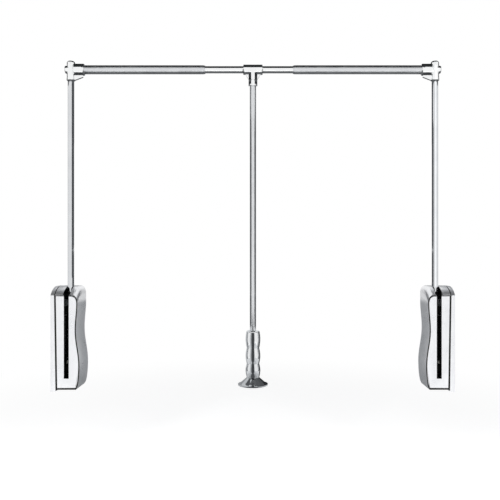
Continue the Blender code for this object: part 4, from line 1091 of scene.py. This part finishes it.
@dataclass
class Handle:
    """Tee on the rail, pull rod, waisted grip and bell-shaped guard."""

    tee_radius: float = 0.01285
    tee_half: float = 0.0248
    stem_radius: float = 0.0113
    stem_drop: float = 0.043
    tee_round: float = 0.0014
    stem_round: float = 0.0018
    web_half: float = 0.003
    web_inset: float = 0.003
    web_drop: float = 0.032
    rail_bore: float = 0.0093
    rod_radius: float = 0.008
    rod_wall: float = 0.0012
    rod_seat: float = 0.0135
    screw_drop: float = 0.032
    screw_radius: float = 0.0023
    grip_levels: tuple[float, float, float, float] = (0.0295, 0.0645, 0.1045, 0.150)
    grip_waist: float = 0.01625
    grip_swell: float = 0.00275
    grip_round: float = 0.005
    swell_steps: int = 24
    round_steps: int = 10
    bell_neck: float = 0.01575
    bell_cone: float = 0.031
    bell_rim: float = 0.0385
    bell_cone_foot: float = 0.016
    brim_fall: float = 0.0035
    bell_foot: float = 0.009
    bell_seat: float = 0.0235
    bell_wall: float = 0.003
    bell_hollow: float = 0.0113
    neck_inset: float = 0.002
    neck_round: float = 0.0008
    rim_round: float = 0.0012
    brim_steps: int = 8
    body: str = "handle"

    def make_tee(self) -> None:
        """Tee casting that turns on the inner tube, with webs down to its stem."""
        half, low = self.tee_half, RAIL_HEIGHT - self.stem_drop
        sleeve = Mesher.rounded(bar(self.tee_radius, -half, half), self.tee_round)
        tee = Mesher.turned("tee_casting", sleeve, about_rail())
        stem = Mesher.rounded(bar(self.stem_radius, RAIL_HEIGHT, low), self.stem_round)
        reach, narrow = half - self.web_inset, self.rod_radius
        web = [(-reach, -self.rail_bore), (-narrow, -self.web_drop), (narrow, -self.web_drop),
               (reach, -self.rail_bore)]
        Mesher.boolean(tee, "UNION", (
            Mesher.turned("stem", stem, upright()),
            Mesher.prism("web", web, -self.web_half, self.web_half, toward_rear(0.0, RAIL_HEIGHT))))
        rod_bore = bar(self.rod_radius + FIT_GAP, low - half, RAIL_HEIGHT - self.rod_seat)
        Mesher.boolean(tee, "DIFFERENCE", (
            Mesher.turned("rail_bore", bar(self.rail_bore, -2 * half, 2 * half), about_rail()),
            Mesher.turned("rod_bore", rod_bore, upright()),
            Mesher.turned("screw_bore", bar(self.screw_radius, 0.0, 2 * self.stem_radius),
                          toward_rear(0.0, RAIL_HEIGHT - self.screw_drop), BORE_SIDES)))
        dress(tee, CAST_CHROME, Role.CHROME, self.body, ("tee_fitting",))

    def make_rod(self) -> None:
        """Pull rod from the tee down through the grip."""
        top = RAIL_HEIGHT - self.rod_seat - FIT_GAP
        profile = Mesher.tube(self.rod_radius, self.rod_wall, self.bell_seat, top)
        rod = Mesher.turned("pull_rod_tube", profile, upright())
        dress(rod, SATIN_ROD, Role.SATIN, self.body, ("pull_rod",))

    def make_grip(self) -> None:
        """Turned grip of three bulges that meet in two sharp waists."""
        bore, top = self.rod_radius + FIT_GAP, self.grip_levels[-1]
        line: list[Point] = []
        for low, high in zip(self.grip_levels, self.grip_levels[1:]):
            for part in (i / self.swell_steps for i in range(self.swell_steps)):
                swell = self.grip_swell * math.sin(math.pi * part)
                line.append((self.grip_waist + swell, low + (high - low) * part))
        line = [(r, z) for r, z in line if z <= top - self.grip_round]
        edge, drop = line[-1][0], self.grip_round
        line += [(edge - drop * (1 - math.cos(a)), top - drop * (1 - math.sin(a)))
                 for a in quarter(self.round_steps)[1:]]
        profile = [(bore, top), (bore, self.grip_levels[0])] + line
        grip = Mesher.turned("grip_turning", profile, upright(), FINE_SIDES)
        dress(grip, TURNED_CHROME, Role.CHROME, self.body, ("grip",))

    def make_bell(self) -> None:
        """Guard under the grip: a straight cone with a flatter brim, hollow from below."""
        top = self.grip_levels[0] - FIT_GAP
        cone, rim = self.bell_cone, self.bell_rim
        neck, lip, steps = self.bell_neck, rim - self.bell_wall, self.brim_steps
        brim = [(cone + (rim - cone) * i / steps, self.bell_cone_foot - self.brim_fall * math.sin(a))
                for i, a in enumerate(quarter(steps))]
        side = [(neck - self.neck_inset, top), (neck, top), (cone, self.bell_cone_foot)]
        edge = [brim[-1], (rim, self.bell_foot), (lip, self.bell_foot), (self.bell_hollow, self.bell_seat)]
        bore = self.rod_radius + FIT_GAP
        profile = [(bore, top)] + Mesher.rounded(side, self.neck_round) + brim[1:]
        profile += Mesher.rounded(edge, self.rim_round)[1:] + [(bore, self.bell_seat)]
        bell = Mesher.turned("bell_guard", profile, upright(), FINE_SIDES)
        dress(bell, TURNED_CHROME, Role.CHROME, self.body, ("bell",))

    def build(self) -> None:
        """Make and dress the handle."""
        self.make_tee()
        self.make_rod()
        self.make_grip()
        self.make_bell()
        for name, finish in CENTRE_FINISHES.items():
            paint(name, finish)


@dataclass(frozen=True)
class Lamp:
    """One soft box."""

    name: str
    place: Triple
    target: Triple
    size: Point
    watts: float

    def build(self) -> None:
        """Make the lamp and turn it to its target."""
        data = bpy.data.lights.new(self.name, "AREA")
        data.shape = "RECTANGLE"
        data.size, data.size_y = self.size
        data.energy = self.watts
        lamp = linked(self.name, data)
        lamp.location = self.place
        way = Vector(self.target) - Vector(self.place)
        lamp.rotation_euler = way.to_track_quat("-Z", "Y").to_euler()
        lamp.visible_glossy = False


@dataclass(frozen=True)
class Flag:
    """Card that only reflections see, so that chrome shows its edges against white."""

    name: str
    corners: tuple[Triple, ...]
    tone: str
    glow: float = 1.0

    def build(self) -> None:
        """Make the card."""
        mesh = bpy.data.meshes.new(self.name)
        mesh.from_pydata(self.corners, [], [tuple(range(len(self.corners)))])
        made = bpy.data.materials.new(self.name + "_felt")
        tree = bare_tree(made)
        glow = node(tree, "ShaderNodeEmission", {"Color": linear(self.tone), "Strength": self.glow})
        node(tree, "ShaderNodeOutputMaterial", {"Surface": glow.outputs["Emission"]})
        mesh.materials.append(made)
        card = linked(self.name, mesh)
        for kind in ("camera", "diffuse", "shadow", "transmission", "volume_scatter"):
            setattr(card, "visible_" + kind, False)


LAMPS = (
    Lamp("key_box", (-0.8, -2.4, 1.5), (0.0, 0.0, 0.45), (1.8, 1.4), 40.0),
    Lamp("fill_box", (0.9, -2.4, 1.3), (0.0, 0.0, 0.45), (1.8, 1.4), 32.0),
)


def wall(x: float, ys: Point, zs: Point) -> tuple[Triple, ...]:
    """Corners of an upright card that runs from front to rear."""
    return ((x, ys[0], zs[0]), (x, ys[1], zs[0]), (x, ys[1], zs[1]), (x, ys[0], zs[1]))


def screen(y: float, xs: Point, zs: Point) -> tuple[Triple, ...]:
    """Corners of an upright card that faces the user."""
    return ((xs[0], y, zs[0]), (xs[1], y, zs[0]), (xs[1], y, zs[1]), (xs[0], y, zs[1]))


def mat(z: float, xs: Point, ys: Point) -> tuple[Triple, ...]:
    """Corners of a level card."""
    return ((xs[0], ys[0], z), (xs[1], ys[0], z), (xs[1], ys[1], z), (xs[0], ys[1], z))


def mirrored(name: str, corners: Sequence[Triple], tone: str) -> tuple[Flag, Flag]:
    """The left and the right card of a pair, from the right one's corners and a name without its side."""
    left = tuple((-x, y, z) for x, y, z in corners)
    return Flag("left_" + name, left, tone), Flag("right_" + name, corners, tone)


FLAGS = (
    Flag("ceiling_flag", mat(2.4, (-2.5, 2.5), (-1.8, 2.6)), "#2C2E30"),
    Flag("under_rail_mat", mat(0.795, (-0.53, 0.53), (-0.02, 0.95)), "#626466"),
    *mirrored("flag", wall(0.20, (0.03, 0.65), (0.20, 1.00)), "#585A5C"),
    *mirrored("front_flag", wall(0.20, (-0.15, 0.03), (0.20, 0.74)), "#585A5C"),
    Flag("left_arm_card", wall(-0.44, (-0.034, 0.0), (0.285, 0.797)), "#585A5C"),
    Flag("right_arm_gleam", screen(-0.03, (0.467, 0.486), (0.262, 0.84)), "#FFFFFF", 1.5),
    *mirrored("elbow_card", wall(0.50, (-0.007, 0.09), (0.802, 0.855)), "#1E2022"),
    *mirrored("high_flag", wall(0.46, (-0.15, 0.20), (0.88, 1.02)), "#303234"),
    *mirrored("socket_roof", mat(0.858, (0.43, 0.485), (-0.012, 0.09)), "#0A0B0C"),
    *mirrored("socket_mat", mat(0.7965, (0.432, 0.462), (-0.02, 0.10)), "#3A3C3E"),
    *mirrored("tee_card", wall(0.027, (-0.032, 0.02), (0.788, 0.822)), "#2A2C2E"),
    *mirrored("shoulder_card", mat(0.3575, (0.24, 0.455), (-0.10, 0.35)), "#FFFFFF"),
    *mirrored("hood_card", mat(0.3575, (0.455, 0.53), (0.035, 0.20)), "#FFFFFF"),
    *mirrored("outer_flag", wall(0.60, (0.05, 0.80), (0.20, 1.00)), "#A0A2A4"),
    *mirrored("low_flag", wall(0.40, (0.05, 0.60), (0.0, 0.215)), "#949698"),
    *mirrored("low_mat", mat(0.002, (0.25, 0.46), (-0.05, 0.60)), "#8A8C8E"),
    Flag("grip_card", screen(-0.13, (-0.054, 0.056), (0.0, 0.166)), "#4A4C4E"),
    Flag("grip_soft_card", screen(-0.13, (-0.100, -0.054), (0.0, 0.166)), "#B4B6B8"),
    Flag("grip_pale_card", screen(-0.13, (-0.155, -0.100), (0.0, 0.166)), "#DCDEE0"),
    Flag("grip_roof", mat(0.166, (-0.054, 0.056), (-0.13, -0.09)), "#4A4C4E"),
    Flag("grip_mat", mat(0.003, (-0.034, 0.030), (-0.13, -0.02)), "#505254"),
    Flag("grip_floor", mat(0.002, (-0.06, 0.06), (-0.10, 0.05)), "#A8AAAC"),
    Flag("grip_mid_floor", mat(0.0015, (-0.11, 0.11), (-0.15, 0.09)), "#C8CACC"),
    Flag("grip_wide_floor", mat(0.001, (-0.25, 0.25), (-0.30, 0.20)), "#E2E4E6"),
    Flag("grip_left_edge", screen(0.035, (-0.10, -0.012), (0.052, 0.150)), "#CACCCE"),
    Flag("grip_right_edge", screen(0.035, (0.012, 0.10), (0.052, 0.150)), "#505254"),
    Flag("bell_left_edge", screen(0.035, (-0.10, -0.012), (0.004, 0.052)), "#9C9EA0"),
    Flag("bell_right_edge", screen(0.035, (0.012, 0.10), (0.004, 0.052)), "#2A2C2E"),
    Flag("grip_left_top", mat(0.152, (-0.045, -0.006), (-0.0155, 0.030)), "#DCDEE0"),
    Flag("grip_right_top", mat(0.152, (0.006, 0.019), (-0.0155, 0.030)), "#F0F1F2"),
    Flag("grip_right_rim", mat(0.152, (0.019, 0.045), (-0.0155, 0.030)), "#606264"),
    *mirrored("rod_card", wall(0.022, (-0.020, 0.040), (0.157, 0.235)), "#585A5C"),
)


@dataclass
class Studio:
    """Camera at the photograph's place, soft boxes, reflected cards, pale floor and white surround."""

    camera_place: Triple = (0.020, -1.550, 0.3575)
    focal_pixels: float = 600.0
    sensor_mm: float = 36.0
    shift_x: float = -0.0214
    floor_size: float = 8.0
    floor_height: float = -0.20
    floor_colour: str = "#F4F4F4"
    near: float = 0.55
    far: float = 1.6
    floor_glow: float = 0.64
    ambient: str = "#BDBFC2"
    ambient_strength: float = 0.25

    def build(self) -> None:
        """Make the whole studio."""
        self.make_camera()
        for item in (*LAMPS, *FLAGS):
            item.build()
        self.make_floor()
        self.make_world()
        bpy.context.scene.view_settings.view_transform = "Standard"

    def make_camera(self) -> None:
        """Level camera in front of the rail."""
        data = bpy.data.cameras.new("camera")
        data.sensor_width = self.sensor_mm
        data.lens = self.focal_pixels / IMAGE_PIXELS * self.sensor_mm
        data.shift_x = self.shift_x
        camera = linked("camera", data)
        camera.location = self.camera_place
        camera.rotation_euler = (math.pi / 2, 0.0, 0.0)
        bpy.context.scene.camera = camera

    @staticmethod
    def seen(tree: bpy.types.NodeTree) -> bpy.types.NodeSocket:
        """Tell the rays that see the studio's white from those that only light.

        Args:
            tree: node tree that takes the nodes.

        Returns:
            Socket that is one for camera, glossy and transmission rays and nought for the rest.
        """
        path = node(tree, "ShaderNodeLightPath").outputs
        first = maths(tree, "MAXIMUM", path["Is Camera Ray"], path["Is Glossy Ray"])
        return maths(tree, "MAXIMUM", first, path["Is Transmission Ray"])

    def make_floor(self) -> None:
        """Pale floor below the rail's lowest swing: keeps the shadow, and fades to white further off."""
        half = self.floor_size / 2
        mesh = bpy.data.meshes.new("floor")
        mesh.from_pydata(mat(0.0, (-half, half), (-half, half)), [], [(0, 1, 2, 3)])
        made = bpy.data.materials.new("pale_studio_floor")
        tree = bare_tree(made)
        place = node(tree, "ShaderNodeTexCoord").outputs["Object"]
        reach = node(tree, "ShaderNodeVectorMath", {0: place}, operation="LENGTH").outputs["Value"]
        away = node(tree, "ShaderNodeMapRange", {"Value": reach, "From Min": self.near, "From Max": self.far},
                    interpolation_type="SMOOTHSTEP").outputs["Result"]
        colour = ramp(tree, away, ((0.0, self.floor_colour), (1.0, "#000000")))
        matte = node(tree, "ShaderNodeBsdfDiffuse", {"Color": colour}).outputs["BSDF"]
        lift = node(tree, "ShaderNodeMapRange", {"Value": away, "To Min": self.floor_glow,
                                                 "To Max": 1.0}).outputs["Result"]
        strength = maths(tree, "MULTIPLY", lift, self.seen(tree))
        glow = node(tree, "ShaderNodeEmission", {"Strength": strength}).outputs["Emission"]
        total = node(tree, "ShaderNodeAddShader", {0: matte, 1: glow}).outputs["Shader"]
        node(tree, "ShaderNodeOutputMaterial", {"Surface": total})
        mesh.materials.append(made)
        floor = linked("floor", mesh)
        floor.location.z = self.floor_height

    def make_world(self) -> None:
        """White for the eye and for reflections, plain soft light for the rest."""
        world = bpy.data.worlds.new("studio")
        tree = bare_tree(world)
        soft = node(tree, "ShaderNodeBackground", {"Color": linear(self.ambient),
                                                   "Strength": self.ambient_strength})
        white = node(tree, "ShaderNodeBackground", {"Color": (1.0, 1.0, 1.0, 1.0), "Strength": 1.0})
        mixed = node(tree, "ShaderNodeMixShader", {0: self.seen(tree), 1: soft.outputs["Background"],
                                                   2: white.outputs["Background"]})
        node(tree, "ShaderNodeOutputWorld", {"Surface": mixed.outputs["Shader"]})
        bpy.context.scene.world = world


def main() -> None:
    """Build the dressed part and its studio."""
    logging.basicConfig(level=logging.INFO, format="%(name)s: %(message)s")
    Studio().build()
    for side in Side:
        Housing(side).build()
        LiftGear(side).build()
        Arm(side).build()
    Rail().build()
    Handle().build()


if __name__ == "__main__":
    main()
